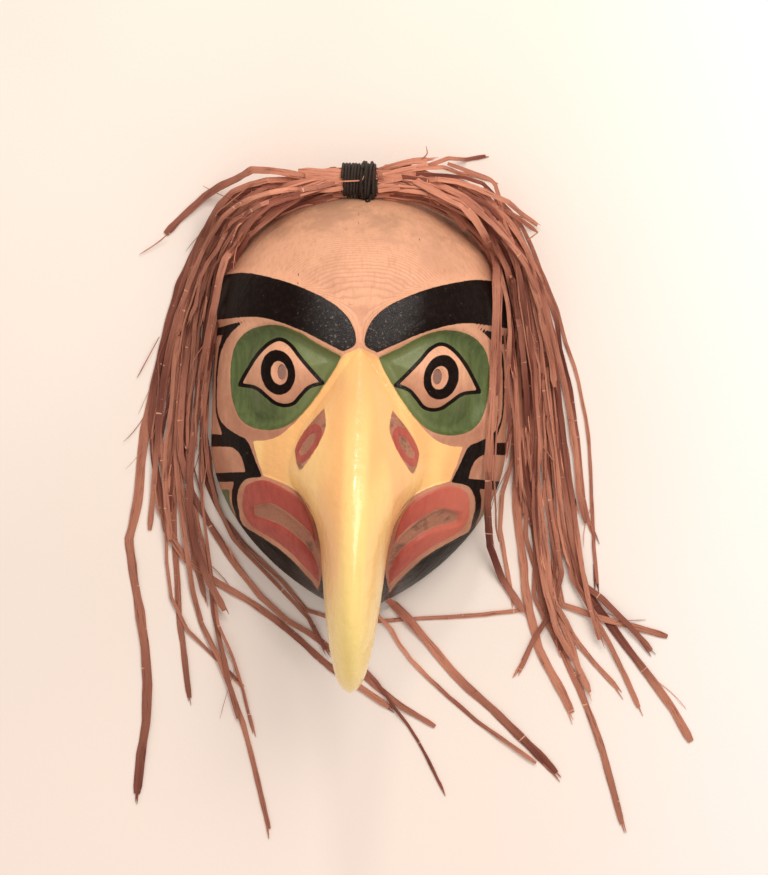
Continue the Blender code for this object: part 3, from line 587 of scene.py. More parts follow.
def paint_mask(mask):
    """Stores how far inside each painted area every vertex is, and adds the finest relief."""
    mesh = mask.data
    places, normals = vertex_arrays(mesh)
    x, y, z = places.T
    u, v = front_view(x, y, z)
    outside = (z > dome(x, y, WALL) + 0.0008) | (reach(x, y, WALL) > 1)
    on_beak = np.zeros(len(x), dtype=bool)
    for face in mesh.polygons:
        if face.material_index:
            on_beak[list(face.vertices)] = True
    mesh.polygons.foreach_set("material_index", [0] * len(mesh.polygons))
    mesh.materials.pop(index=1)
    # The red edge is as wide as the side view shows it, so it is measured across that view
    edge = [(half * PART_X, foot[1], foot[2]) for foot, _, _, half, _ in beak_sections()]
    ex, ey, ez = np.array(edge).T
    _, ev = front_view(ex, ey, ez)
    lower = (ev < BEAK_EDGE_TOP) & (ev > BEAK_EDGE_END)
    edge_distance = line_distance(y / MM, z / MM, list(zip(ey[lower] / MM, ez[lower] / MM)))
    below = np.clip((-0.10 - normals[:, 2]) * 20, UNPAINTED, 4)
    underneath = np.where(on_beak & (v > BEAK_EDGE_END), below, UNPAINTED)

    eye, socket, brow, lip, mouth, band, jaw, patch = (
        inside_distance(u, v, outline) for outline in (EYE, SOCKET, BROW, LIP, MOUTH, BAND, JAW, CHEEK_PATCH))
    beak_paint, nostril, nostril_ring, nostril_middle = (
        inside_distance(u, v, outline) for outline in (BEAK_PAINT, NOSTRIL, NOSTRIL_RING, NOSTRIL_MIDDLE))
    under_beak = np.minimum(inside_distance(u, v, UNDER_BEAK), UNDER_BEAK_TOP - v)
    ring = np.minimum(ellipse_distance(u, v, RING_MIDDLE, RING_HALF, RING_TILT),
                      -ellipse_distance(u, v, HOLE_MIDDLE, RING_HOLE, RING_TILT))

    hidden = np.where(outside, 0.0, HIDDEN)
    chin = np.where(on_beak, UNPAINTED, np.maximum(jaw, under_beak))
    black = np.maximum.reduce([brow, band, ring, chin])
    green = np.maximum(socket, patch)
    edge_width = BEAK_EDGE_RED * smooth_step(v, BEAK_EDGE_END, BEAK_EDGE_END + 40)
    edge_width *= 1 - smooth_step(v, BEAK_EDGE_TOP - 24, BEAK_EDGE_TOP - BEAK_EDGE_START)
    on_edge = on_beak & (v < BEAK_EDGE_TOP - BEAK_EDGE_START)
    edge_red = np.maximum(np.where(on_edge, edge_width - edge_distance, UNPAINTED), underneath)
    # The steep sides of the beak are yellow too, where the front view can't show them
    flank = np.where(on_beak, np.clip((0.15 - normals[:, 2]) * 40, UNPAINTED, 9), UNPAINTED)
    yellow = np.maximum(np.minimum(beak_paint, -nostril), flank)
    yellow = np.where(on_beak, np.minimum(yellow, -edge_red), np.minimum(yellow, v - FACE_YELLOW_END))
    lip_red = np.where(on_beak, UNPAINTED, np.minimum(lip - LIP_RIM, -mouth - 0.2))
    nostril_red = np.minimum(nostril_ring, -nostril_middle)
    red = np.maximum.reduce([lip_red, nostril_red, edge_red])
    mouth_line = np.where(on_beak, UNPAINTED, np.minimum(mouth, lip))
    bare = np.maximum(np.minimum(nostril, -nostril_red), mouth_line)
    for name, field in (("black", black), ("green", green), ("yellow", yellow), ("red", red),
                        ("rough_cut", bare)):
        set_attribute(mesh, name, field + hidden)
    set_attribute(mesh, "eye", np.where(outside, eye, HIDDEN))
    signed = np.sign(x) * u
    check = np.full(len(x), NO_CRACK)
    for crack in CHECKS:
        check = np.minimum(check, line_distance(signed, v, crack))
    set_attribute(mesh, "check", np.where(outside, check, NO_CRACK))
    # The ridge value places the painted highlight along the top of the beak
    set_attribute(mesh, "ridge", np.where(on_beak, u, NO_CRACK))

    marks = noise_at(places, 130.0, 3.0) + 0.5 * noise_at(places, 300.0, 9.0)
    stipple = noise_at(places, 900.0, 5.0)
    fine = (NOSTRIL_RISE * smooth_step(nostril, -0.5, 2.0)
            - NOSTRIL_RISE * 1.4 * smooth_step(nostril_middle, -0.8, 1.2)
            - LINE_GROOVE * (1 - smooth_step(np.abs(eye), 0.4, EYE_LINE + 0.6))
            + STIPPLE_DEPTH * stipple * smooth_step(bare, 0.0, 1.0)
            + TOOL_MARK * marks)
    fine = np.where(outside, fine, 0.0012 * noise_at(places * np.array([1, 0.4, 1]), 70.0, 1.0))
    fine *= smooth_step(z, 0.001, 0.012)
    mesh.vertices.foreach_set("co", (places + normals * fine[:, None]).ravel())
    mesh.update()


def build_mask(material):
    """The whole mask: head and beak in one, its pupils drilled, painted and set in its place."""
    mask = build_head(material)
    mark_slot(mask, 0)
    beak = build_beak(material)
    mark_slot(beak, 1)
    drills = [build_pupil(side, material) for side in (-1, 1)]
    apply_booleans(mask, [("UNION", beak)] + [("DIFFERENCE", drill) for drill in drills])
    paint_mask(mask)
    places, _ = vertex_arrays(mask.data)
    places += np.array([FACE_X, FACE_Y, 0.0])
    mask.data.vertices.foreach_set("co", places.ravel())
    mask.data.update()
    mask.data.shade_smooth()
    mask.data.set_sharp_from_angle(angle=math.radians(50))
    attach(mask, "root")
    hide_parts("mask")


# Materials

class Look:
    """Short calls for building one material's nodes."""

    def __init__(self, name):
        self.material = bpy.data.materials.new(name)
        self.material.use_nodes = True
        self.tree = self.material.node_tree
        self.shader = self.tree.nodes["Principled BSDF"]

    def node(self, kind, *inputs, **settings):
        """A node, its inputs given in order: None leaves one as it is."""
        made = self.tree.nodes.new(kind)
        for key, value in settings.items():
            setattr(made, key, value)
        for socket, value in zip(made.inputs, inputs):
            self.put(socket, value)
        return made

    def put(self, socket, value):
        """A link from another socket, or a plain value."""
        if value is None:
            return
        if isinstance(value, bpy.types.NodeSocket):
            self.tree.links.new(value, socket)
        else:
            socket.default_value = value

    def math(self, operation, *inputs):
        return self.node("ShaderNodeMath", *inputs, operation=operation).outputs[0]

    def times(self, first, second):
        return self.math("MULTIPLY", first, second)

    def step(self, value, low, high):
        """0 below low and 1 above high, with a soft ramp between."""
        made = self.node("ShaderNodeMapRange", value, low, high, interpolation_type="SMOOTHSTEP")
        return made.outputs[0]

    def mix(self, share, first, second):
        """From one colour to another."""
        made = self.node("ShaderNodeMix", data_type="RGBA")
        self.put(made.inputs[0], share)
        self.put(made.inputs[6], first)
        self.put(made.inputs[7], second)
        return made.outputs[2]

    def blend(self, share, first, second):
        """From one number to another."""
        made = self.node("ShaderNodeMix", data_type="FLOAT")
        self.put(made.inputs[0], share)
        self.put(made.inputs[2], first)
        self.put(made.inputs[3], second)
        return made.outputs[0]

    def tints(self, colour, *layers):
        """Thin layers of other screen colours, each with its share and its greatest strength."""
        for share, strength, screen in layers:
            colour = self.mix(self.times(share, strength), colour, rgb(*screen))
        return colour

    def noise(self, vector, scale, detail=3.0, roughness=0.5):
        made = self.node("ShaderNodeTexNoise")
        self.put(made.inputs["Vector"], vector)
        made.inputs["Scale"].default_value = scale
        made.inputs["Detail"].default_value = detail
        made.inputs["Roughness"].default_value = roughness
        return made.outputs[0]

    def attribute(self, name):
        return self.node("ShaderNodeAttribute", attribute_name=name).outputs["Fac"]

    def place(self, stretch=(1.0, 1.0, 1.0)):
        """The place on the object in metres, stretched along the axes."""
        where = self.node("ShaderNodeTexCoord").outputs["Object"]
        if stretch == (1.0, 1.0, 1.0):
            return where
        return self.node("ShaderNodeVectorMath", where, stretch, operation="MULTIPLY").outputs[0]

    def join(self, x, y, z):
        return self.node("ShaderNodeCombineXYZ", x, y, z).outputs[0]

    def bump(self, height, distance, under=None):
        """Relief from a height of 0 to 1, over any relief already there."""
        made = self.node("ShaderNodeBump")
        made.inputs["Strength"].default_value = 1.0
        made.inputs["Distance"].default_value = distance
        self.put(made.inputs["Height"], height)
        self.put(made.inputs["Normal"], under)
        return made.outputs[0]

    def finish(self, colour, roughness, normal, **plain):
        """Links the shader, and sets what is the same all over on its own sockets."""
        self.put(self.shader.inputs["Base Color"], colour)
        self.put(self.shader.inputs["Roughness"], roughness)
        self.put(self.shader.inputs["Normal"], normal)
        for key, value in plain.items():
            self.shader.inputs[key.replace("_", " ")].default_value = value
        return self.material


PITH_DEPTH = 0.30
PITH_TILT = 0.09
RING_SPACING = 0.00095
RING_WARP = 0.0012
RING_SMALL_WARP = 0.00025
PAINT_EDGE = 0.28


def wood_rings(look):
    """Growth rings about an upright line far behind the face, clear on the front of the forehead."""
    where = look.place()
    parts = look.node("ShaderNodeSeparateXYZ", where).outputs
    across = look.math("SUBTRACT", parts[0], FACE_X)
    deep = look.math("ADD", parts[2], PITH_DEPTH)
    radius = look.math("SQRT", look.math("ADD", look.times(across, across), look.times(deep, deep)))
    radius = look.math("MULTIPLY_ADD", parts[1], PITH_TILT, radius)
    radius = look.math("MULTIPLY_ADD", look.noise(look.place((1.0, 0.8, 1.0)), 14.0, 2.0), RING_WARP, radius)
    radius = look.math("MULTIPLY_ADD", look.noise(where, 90.0, 2.0), RING_SMALL_WARP, radius)
    turn = look.math("FRACT", look.math("DIVIDE", radius, RING_SPACING))
    late = look.times(look.step(turn, 0.45, 0.85), look.step(turn, 1.0, 0.90))
    high = look.math("SUBTRACT", parts[1], FACE_Y)
    clear = look.times(look.step(parts[2], 0.055, 0.092), look.step(high, 0.022, 0.050))
    clear = look.blend(clear, 0.06, 0.85)
    patchy = look.blend(look.step(look.noise(where, 40.0, 2.0), 0.3, 0.6), 0.45, 1.0)
    return look.times(late, look.times(clear, patchy))


def mask_look():
    """Bare cedar with flat hand-brushed paint over it."""
    look = Look("painted_wood_look")
    where = look.place()
    parts = look.node("ShaderNodeSeparateXYZ", where).outputs
    late = wood_rings(look)
    grain = look.noise(look.place((1.0, 0.12, 1.0)), 420.0, 3.0, 0.6)
    blotch = look.noise(where, 26.0, 4.0, 0.65)
    speck = look.noise(where, 260.0, 3.0, 0.6)
    high = look.math("SUBTRACT", parts[1], FACE_Y)
    from_middle = look.math("SUBTRACT", parts[0], FACE_X)
    side = look.math("ABSOLUTE", from_middle)
    # Greyer near the top of the forehead: dust smudges, and painted shade beside the bark bundle
    dust_and_shade = look.times(look.step(high, 0.085, 0.150), look.blend(look.step(blotch, 0.40, 0.62), 0.35, 0.9))
    # Darker towards the sides and the lower part of the face
    darker_sides_and_low = look.math("MAXIMUM", look.step(side, 0.078, 0.106), look.step(high, 0.030, -0.010))
    darker_sides_and_low = look.times(darker_sides_and_low, look.blend(look.step(blotch, 0.25, 0.6), 0.55, 1.0))
    check = look.math("ADD", look.attribute("check"), look.times(speck, 0.5))
    rough_cut = look.step(look.attribute("rough_cut"), -0.2, 0.6)
    scratched = look.times(rough_cut, look.step(look.noise(where, 1400.0, 2.0, 0.6), 0.48, 0.62))
    smear = look.times(rough_cut, look.step(look.noise(where, 75.0, 3.0, 0.6), 0.5, 0.68))
    wood = look.tints(
        rgb(233, 172, 136),
        (late, 0.55, (184, 124, 94)),
        (look.step(grain, 0.45, 0.75), 0.6, (206, 144, 112)),
        (look.step(blotch, 0.45, 0.72), 0.5, (196, 138, 108)),
        (dust_and_shade, 1.0, (172, 128, 100)),
        (look.step(speck, 0.64, 0.80), 0.40, (140, 95, 72)),
        (darker_sides_and_low, 0.78, (160, 100, 76)),
        (look.step(check, 0.85, 0.35), 1.0, (96, 58, 44)),
        (rough_cut, 0.60, (172, 114, 90)),
        (scratched, 0.6, (140, 88, 66)),
        (smear, 0.75, (98, 70, 56)))

    edge_wobble = look.math("MULTIPLY_ADD", look.noise(where, 240.0, 3.0, 0.6), 0.9, -0.45)

    def area(name):
        """1 inside a painted area, its edge a little uneven, as a brush leaves it."""
        inside = look.math("ADD", look.attribute(name), edge_wobble)
        return look.step(inside, -PAINT_EDGE, PAINT_EDGE)

    brush = look.noise(look.place((1.0, 0.10, 1.0)), 230.0, 3.0, 0.6)
    planes = look.noise(look.place((1.0, 0.16, 0.5)), 42.0, 1.0, 0.4)
    crackle_and_glints = look.noise(where, 520.0, 4.0, 0.75)
    inner = look.step(side, 0.052, 0.020)
    # Painted highlight along the top of the beak's ridge
    ridge = look.times(look.step(look.attribute("ridge"), 13.0, 6.0), look.step(high, 0.020, -0.045))
    # The green is lighter towards the nose: painted light
    green_paint = look.tints(
        look.mix(look.step(brush, 0.3, 0.75), rgb(72, 84, 40), rgb(92, 106, 54)),
        (look.step(side, 0.072, 0.030), 0.55, (134, 140, 88)))
    # Lighter towards the tip: painted light on the lower beak, which turns away from the lamps
    yellow_paint = look.tints(
        look.mix(look.step(planes, 0.38, 0.60), rgb(246, 184, 116), rgb(253, 204, 128)),
        (ridge, 0.50, (255, 226, 140)),
        (look.step(high, -0.115, -0.175), 0.9, (255, 224, 138)),
        (look.step(brush, 0.45, 0.72), 0.20, (240, 186, 108)))
    # The red is lighter on the right side of the face: painted light
    red_paint = look.tints(
        look.mix(look.step(brush, 0.3, 0.75), rgb(160, 64, 52), rgb(178, 78, 63)),
        (look.step(from_middle, 0.02, 0.08), 0.8, (206, 106, 84)))
    # The light specks near the nose are painted glints on the black paint
    black_paint = look.tints(
        look.mix(look.step(speck, 0.4, 0.8), rgb(20, 11, 8), rgb(34, 21, 16)),
        (look.times(inner, look.step(crackle_and_glints, 0.58, 0.68)), 0.60, (168, 156, 142)))

    eye = look.attribute("eye")
    eye_inside = look.step(eye, EYE_LINE - 0.3, EYE_LINE + 0.3)
    line = look.math("SUBTRACT", EYE_LINE, look.math("ABSOLUTE", eye))
    line = look.step(look.math("MULTIPLY_ADD", edge_wobble, 0.6, line), -0.25, 0.25)
    green = look.times(area("green"), look.math("SUBTRACT", 1.0, eye_inside))
    black = look.math("MAXIMUM", area("black"), line)
    yellow = area("yellow")
    red = area("red")
    painted = look.math("MAXIMUM", look.math("MAXIMUM", green, black), look.math("MAXIMUM", yellow, red))
    colour = look.mix(green, wood, green_paint)
    colour = look.mix(yellow, colour, yellow_paint)
    colour = look.mix(red, colour, red_paint)
    colour = look.mix(black, colour, black_paint)
    worn = look.times(look.step(look.noise(where, 420.0, 4.0, 0.65), 0.66, 0.74),
                      look.math("SUBTRACT", painted, yellow))
    colour = look.tints(colour, (worn, 0.22, (214, 160, 120)))

    inner_black = look.times(black, inner)
    roughness = look.blend(painted, 0.62, look.blend(speck, 0.34, 0.48))
    roughness = look.blend(yellow, roughness, 0.27)
    roughness = look.blend(inner_black, roughness, 0.26)
    bare_relief = look.math("MULTIPLY_ADD", late, 0.30, look.times(grain, 0.7))
    hair_lines = look.times(look.noise(where, 900.0, 2.0), 0.5)
    paint_relief = look.math("MULTIPLY_ADD", brush, 0.5, hair_lines)
    normal = look.bump(look.noise(where, 170.0, 3.0, 0.55), 0.0006)
    normal = look.bump(look.blend(painted, bare_relief, paint_relief), 0.00025, normal)
    normal = look.bump(look.times(crackle_and_glints, inner_black), 0.0008, normal)
    normal = look.bump(painted, 0.00015, normal)
    gloss = look.blend(black, 0.40, look.blend(inner, 0.06, 0.42))
    look.put(look.shader.inputs["Specular IOR Level"], gloss)
    look.put(look.shader.inputs["Coat Weight"], look.times(yellow, 0.4))
    return look.finish(colour, roughness, normal, Coat_Roughness=0.13)


def bark_look():
    """Cedar bark: long fibres, creases across, every strip with its own tint, darker further along from the
    binding, and painted shade on the strips left of the face.
    """
    look = Look("cedar_bark_look")
    along = look.attribute("along")
    across = look.attribute("across")
    seed = look.attribute("seed")

    def streaks(per_metre_along, per_metre_across, detail, roughness=0.5, start=seed):
        """Noise drawn out along or across the strips."""
        where = look.join(look.times(along, per_metre_along), look.times(across, per_metre_across), start)
        return look.noise(where, 1.0, detail, roughness)

    fibres = streaks(45.0, 900.0, 4.0, 0.65)
    streak = streaks(14.0, 260.0, 2.0)
    mark = streaks(330.0, 60.0, 1.0, start=look.math("ADD", seed, 31.0))
    creased = look.step(streaks(520.0, 30.0, 2.0, 0.6), 0.70, 0.76)
    tint = look.noise(look.join(seed, look.times(seed, 3.7), look.times(along, 9.0)), 0.73, 1.0)
    # Across from the face: strips well left of it get painted shade
    where_x = look.math("SUBTRACT", look.node("ShaderNodeSeparateXYZ", look.place()).outputs[0], FACE_X)
    colour = look.tints(
        look.mix(look.step(tint, 0.30, 0.62), rgb(*BARK_DARK), rgb(*BARK_LIGHT)),
        (look.step(streak, 0.35, 0.7), 0.45, BARK_STREAK),
        (look.step(fibres, 0.52, 0.72), 0.75, BARK_FIBRE_AND_SHADE),
        (look.step(where_x, -0.075, -0.125), 0.20, BARK_FIBRE_AND_SHADE),
        (look.step(along, 0.07, 0.17), 0.24, BARK_FIBRE_AND_SHADE),
        (look.step(mark, 0.70, 0.76), 0.75, BARK_MARK),
        (creased, 0.5, BARK_FIBRE_AND_SHADE))
    normal = look.bump(fibres, 0.0012)
    normal = look.bump(streak, 0.0010, normal)
    normal = look.bump(look.math("SUBTRACT", 1.0, creased), 0.0004, normal)
    return look.finish(colour, look.blend(fibres, 0.55, 0.85), normal, Specular_IOR_Level=0.3)


def cord_look():
    """Black twisted twine with painted glints on the crests of its lay."""
    look = Look("black_cord_look")
    along = look.attribute("along")
    across = look.attribute("across")
    lay = look.math("ABSOLUTE", look.math("SINE", look.math("MULTIPLY_ADD", along, 2300.0, across)))
    hair = look.noise(look.join(look.times(along, 900.0), across, look.attribute("seed")), 2.0, 3.0)
    # The lighter colour on the crests of the lay is painted glints
    colour = look.mix(look.times(lay, look.step(hair, 0.4, 0.8)), rgb(30, 21, 17), rgb(112, 88, 70))
    normal = look.bump(lay, 0.0005)
    normal = look.bump(hair, 0.0002, normal)
    return look.finish(colour, look.blend(hair, 0.45, 0.7), normal, Specular_IOR_Level=0.4)


def floor_look():
    """Pale studio paper with painted light: lighter towards the front and the right."""
    look = Look("studio_paper")
    tone = look.noise(look.place(), 3.0, 2.0)
    colour = look.mix(look.step(tone, 0.3, 0.7), (0.91, 0.79, 0.71, 1.0), (0.94, 0.83, 0.75, 1.0))
    parts = look.node("ShaderNodeSeparateXYZ", look.place()).outputs
    # Painted light: the paper gets lighter towards the front and the right
    colour = look.mix(look.step(parts[1], -0.06, -0.34), colour, (0.99, 0.85, 0.77, 1.0))
    colour = look.mix(look.step(parts[0], 0.05, 0.34), colour, (0.97, 0.94, 0.91, 1.0))
    fine = look.noise(look.place(), 400.0, 2.0)
    normal = look.bump(fine, 0.0001)
    return look.finish(colour, look.blend(fine, 0.85, 0.95), normal, Specular_IOR_Level=0.1)


# Bark strips

def strip_bends(name):
    """Middle points and widths of a packed strip's bends, from the bundle to the loose end."""
    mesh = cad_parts[name].data
    posts = {}
    owner = {}
    for vertex in mesh.vertices:
        key = (round(vertex.co.x / 2e-5), round(vertex.co.y / 2e-5))
        owner[vertex.index] = key
        posts.setdefault(key, []).append(vertex.co)
    keys = list(posts)
    plan = {key: np.mean([(c.x, c.y) for c in posts[key]], axis=0) for key in keys}
    tops = {key: max(c.z for c in posts[key]) for key in keys}
    joined = {key: set() for key in keys}
    for edge in mesh.edges:
        a, b = owner[edge.vertices[0]], owner[edge.vertices[1]]
        if a != b:
            joined[a].add(b)
            joined[b].add(a)
    home = {}
    for key in keys:
        partner = min(joined[key], key=lambda other: np.linalg.norm(plan[key] - plan[other]))
        home[key] = tuple(sorted((key, partner)))
    stations = {pair: (plan[pair[0]] + plan[pair[1]]) / 2 for pair in home.values()}
    links = {pair: set() for pair in stations}
    for key in keys:
        for other in joined[key]:
            if home[key] != home[other]:
                links[home[key]].add(home[other])
    ends = [pair for pair in links if len(links[pair]) == 1]
    start = min(ends, key=lambda pair: abs(stations[pair][0] - FACE_X) - stations[pair][1])
    order = [start]
    while True:
        onward = [pair for pair in links[order[-1]] if pair not in order]
        if not onward:
            break
        order.append(onward[0])
    middles = [(*stations[pair], (tops[pair[0]] + tops[pair[1]]) / 2) for pair in order]
    widths = [np.linalg.norm(plan[pair[0]] - plan[pair[1]]) for pair in order]
    return np.array(middles), np.array(widths)


def wobble(values, seed):
    """Smooth noise from -1 to 1 along a row of numbers."""
    return np.array([noise.noise(Vector((value, seed, 0.5 * seed))) for value in values])


def across_plan(line):
    """Unit vectors to the left of a line, seen from above."""
    tangent = np.gradient(line, axis=0)
    side = np.column_stack([-tangent[:, 1], tangent[:, 0], np.zeros(len(line))])
    return side / np.maximum(np.linalg.norm(side, axis=1), 1e-9)[:, None]


def kinked(line, sway):
    """A line broken into nearly straight stretches, as stiff dry bark bends."""
    length = run_length(line)
    knots = [0.0]
    while knots[-1] < length[-1]:
        knots.append(knots[-1] + RANDOM.uniform(SHORTEST_STRETCH, LONGEST_STRETCH))
    offsets = [0.0] + [RANDOM.uniform(-sway, sway) for _ in knots[1:]]
    lifts = [0.0] + [RANDOM.uniform(-0.2, 0.35) * sway for _ in knots[1:]]
    moved = line + across_plan(line) * np.interp(length, knots, offsets)[:, None]
    moved[:, 2] += np.interp(length, knots, lifts)
    return moved


def rolled(line, swing, flips=0):
    """How far a strip leans over along its line, with a full half turn here and there."""
    length = run_length(line)
    roll = swing * wobble(length * 22.0, RANDOM.uniform(0, 50))
    for _ in range(flips):
        middle = RANDOM.uniform(0.25, 0.95) * length[-1]
        roll += math.pi * smooth_step(length, middle - 0.006, middle + 0.006)
    return roll


def head_height(x, y):
    """Height of the smooth head below points of the frame, 0 beside it."""
    return dome(np.asarray(x) - FACE_X, np.asarray(y) - FACE_Y)


def resting(line, clear):
    """A line lifted off the head and the table wherever it would sink into them."""
    line = line.copy()
    line[:, 2] = np.maximum(line[:, 2], head_height(line[:, 0], line[:, 1]) + clear)
    return line


def seen(x, y, z):
    """The point of the frame at height z, in metres, that shows at a place of the front view."""
    farther = 1 - z / FRONT_VIEW_DISTANCE
    middle_x, middle_y = FRONT_VIEW_MIDDLE
    return (FACE_X + (middle_x + (x - middle_x) * farther) * PART_X,
            FACE_Y + (middle_y + (y - middle_y) * farther) * PART_Y, z)


class Strips:
    """Gathers many strips, fibres and cords into one mesh."""

    def __init__(self):
        self.vertices = []
        self.faces = []
        self.along = []
        self.across = []
        self.seed = []
        self.count = 0

    def keep(self, places, along, across, seed):
        """Adds rings of places, already in order, as one closed bar."""
        stations, around, _ = places.shape
        self.vertices.append(places.reshape(-1, 3))
        self.along.append(np.repeat(along, around))
        self.across.append(across.ravel())
        self.seed.append(np.full(stations * around, seed))
        start = self.count
        self.faces += ring_faces(start, stations, around)
        self.faces.append(tuple(range(start, start + around)))
        last = start + (stations - 1) * around
        self.faces.append(tuple(range(last, last + around)))
        self.count += stations * around

    def strip(self, line, width, roll=None, sides=3, thickness=0.0007, tips=(0.35, 0.35), curl=0.05,
              seed=None, from_start=0.0):
        """One strip with a flat, slightly hollow section along a line, rolled about it."""
        line = np.asarray(line, dtype=float)
        seed = RANDOM.uniform(0, 100) if seed is None else seed
        roll = np.zeros(len(line)) if roll is None else roll
        tangent = np.gradient(line, axis=0)
        tangent /= np.maximum(np.linalg.norm(tangent, axis=1), 1e-9)[:, None]
        side = across_plan(line)
        up = np.cross(tangent, side)
        length = run_length(line)
        start_share = np.minimum(1.0, length / TIP_LENGTH)
        end_share = np.minimum(1.0, (length[-1] - length) / TIP_LENGTH)
        narrow = (tips[0] + (1 - tips[0]) * start_share) * (tips[1] + (1 - tips[1]) * end_share)
        half = 0.5 * width * narrow * (1 + 0.20 * wobble(length * 70, seed))
        cosine, sine = np.cos(roll)[:, None], np.sin(roll)[:, None]
        flat = side * cosine + up * sine
        high = up * cosine - side * sine
        row = np.linspace(-1, 1, sides)
        shares = np.concatenate([row, row[::-1]])
        faces = np.concatenate([np.ones(sides), -np.ones(sides)])
        depth = curl * width * (1 - shares ** 2) + faces * thickness / 2
        places = (line[:, None, :] + flat[:, None, :] * (half[:, None] * shares)[:, :, None]
                  + high[:, None, :] * depth[None, :, None])
        ground = head_height(places[:, :, 0], places[:, :, 1])
        lack = (ground + LEAST_GAP - places[:, :, 2]).max(axis=1)
        places[:, :, 2] += np.maximum(0, lack)[:, None]
        self.keep(places, length + from_start, half[:, None] * shares, seed)
        return seed

    def round_bar(self, line, radius, sides=8):
        """One round cord along a line."""
        line = np.asarray(line, dtype=float)
        seed = RANDOM.uniform(0, 100)
        tangent = np.gradient(line, axis=0)
        tangent /= np.linalg.norm(tangent, axis=1)[:, None]
        side = np.cross(tangent, np.array([0.93, 0.21, 0.30]))
        side /= np.linalg.norm(side, axis=1)[:, None]
        up = np.cross(tangent, side)
        angles = 2 * math.pi * np.arange(sides) / sides
        round_it = (side[:, None, :] * np.cos(angles)[None, :, None]
                    + up[:, None, :] * np.sin(angles)[None, :, None])
        places = line[:, None, :] + radius * round_it
        self.keep(places, run_length(line), np.broadcast_to(angles, (len(line), sides)), seed)

    def piece(self, name, material, slot, *nodes):
        """The finished object, riding on the mask."""
        thing = new_object(name, np.vstack(self.vertices), self.faces, material, math.radians(24))
        for key in ("along", "across", "seed"):
            set_attribute(thing.data, key, np.concatenate(getattr(self, key)))
        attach(thing, "root")
        if nodes:
            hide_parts(*nodes)


def fray(strips, line, width, seed):
    """A torn end: a few narrow splinters that run on past the end of a strip."""
    length = run_length(line)
    count = RANDOM.choice((0, 2, 2, 3, 4))
    for _ in range(count):
        back = RANDOM.uniform(0.004, 0.018)
        reach_on = RANDOM.uniform(0.002, 0.009)
        first = int(np.searchsorted(length, max(0.0, length[-1] - back)))
        if first > len(line) - 3:
            continue
        tail = line[first:]
        offset = RANDOM.uniform(-0.42, 0.42) * width
        spread = RANDOM.uniform(-0.10, 0.10)
        onward = tail[-1] - tail[-2]
        onward /= np.linalg.norm(onward)
        tail = np.vstack([tail, tail[-1] + onward * reach_on])
        run = run_length(tail)
        tail = tail + across_plan(tail) * (offset + spread * run)[:, None]
        strips.strip(tail, RANDOM.uniform(0.0007, 0.0016), seed=seed, tips=(1.0, 0.2), curl=0.0)


# The gathered bark and its binding

BINDING_LOW, BINDING_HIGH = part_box("binding")
BINDING_X = (BINDING_LOW[0] + BINDING_HIGH[0]) / 2
BINDING_Y = (BINDING_LOW[1] + BINDING_HIGH[1]) / 2
BINDING_OUTER = (BINDING_HIGH[1] - BINDING_LOW[1]) / 2
BINDING_Z = BINDING_LOW[2] + BINDING_OUTER
BINDING_HALF = (BINDING_HIGH[0] - BINDING_LOW[0]) / 2
BUNDLE_RADIUS = 0.0100
BUNDLE_SWELL = 0.15
BUNDLE_END_THICKNESS = 0.40

# Middle line of the bundle as packed: across, up from the binding, height from the binding
BUNDLE_ROUTE = [(-84, -23, -10), (-66, -14, -6), (-42, -6, -2), (-24, -1, 0), (-5, 0, 0),
                (14, 0, 0), (30, 2, 0), (57, -5, -3), (76, -14, -7), (88, -21, -10)]


def bundle_middle():
    """Points along the middle of the bundle, from its left end to its right end."""
    route = [(FACE_X + x * PART_X, BINDING_Y + y * PART_Y, BINDING_Z + z * PART_Z)
             for x, y, z in BUNDLE_ROUTE]
    return smooth_line(route, 0.002)


def bundle_section(x):
    """Half width and half height of the bundle at a place across."""
    away = max(0.0, abs(x - BINDING_X) - BINDING_HALF - 0.004)
    share = min(1.0, away / 0.062)
    swell = 1 + BUNDLE_SWELL * math.sin(math.pi * min(1.0, share * 1.6))
    return BUNDLE_RADIUS * swell, BUNDLE_RADIUS * (1 + (BUNDLE_END_THICKNESS - 1) * share)


def bundle_line(middle, angle, depth, start_x, end_x):
    """A line along the bundle at one angle round it, between two places across."""
    points = []
    for x, y, z in middle:
        if min(start_x, end_x) <= x <= max(start_x, end_x):
            wide, high = bundle_section(x)
            points.append((x, y + wide * depth * math.cos(angle), z + high * depth * math.sin(angle)))
    if start_x > end_x:
        points.reverse()
    return np.array(points)


def lead_in(middle, start, side):
    """From inside the binding, along the bundle, to where a packed strip begins."""
    angle = RANDOM.uniform(0.15, math.pi - 0.15)
    depth = RANDOM.uniform(0.60, 0.88)
    mouth = BINDING_X + side * (BINDING_HALF - 0.001)
    bend = BINDING_X + side * RANDOM.uniform(0.028, 0.044)
    inside = bundle_line(middle, angle, depth, mouth, bend)
    route = list(inside[::6]) + [start]
    return smooth_line(route, STEP_ALONG)


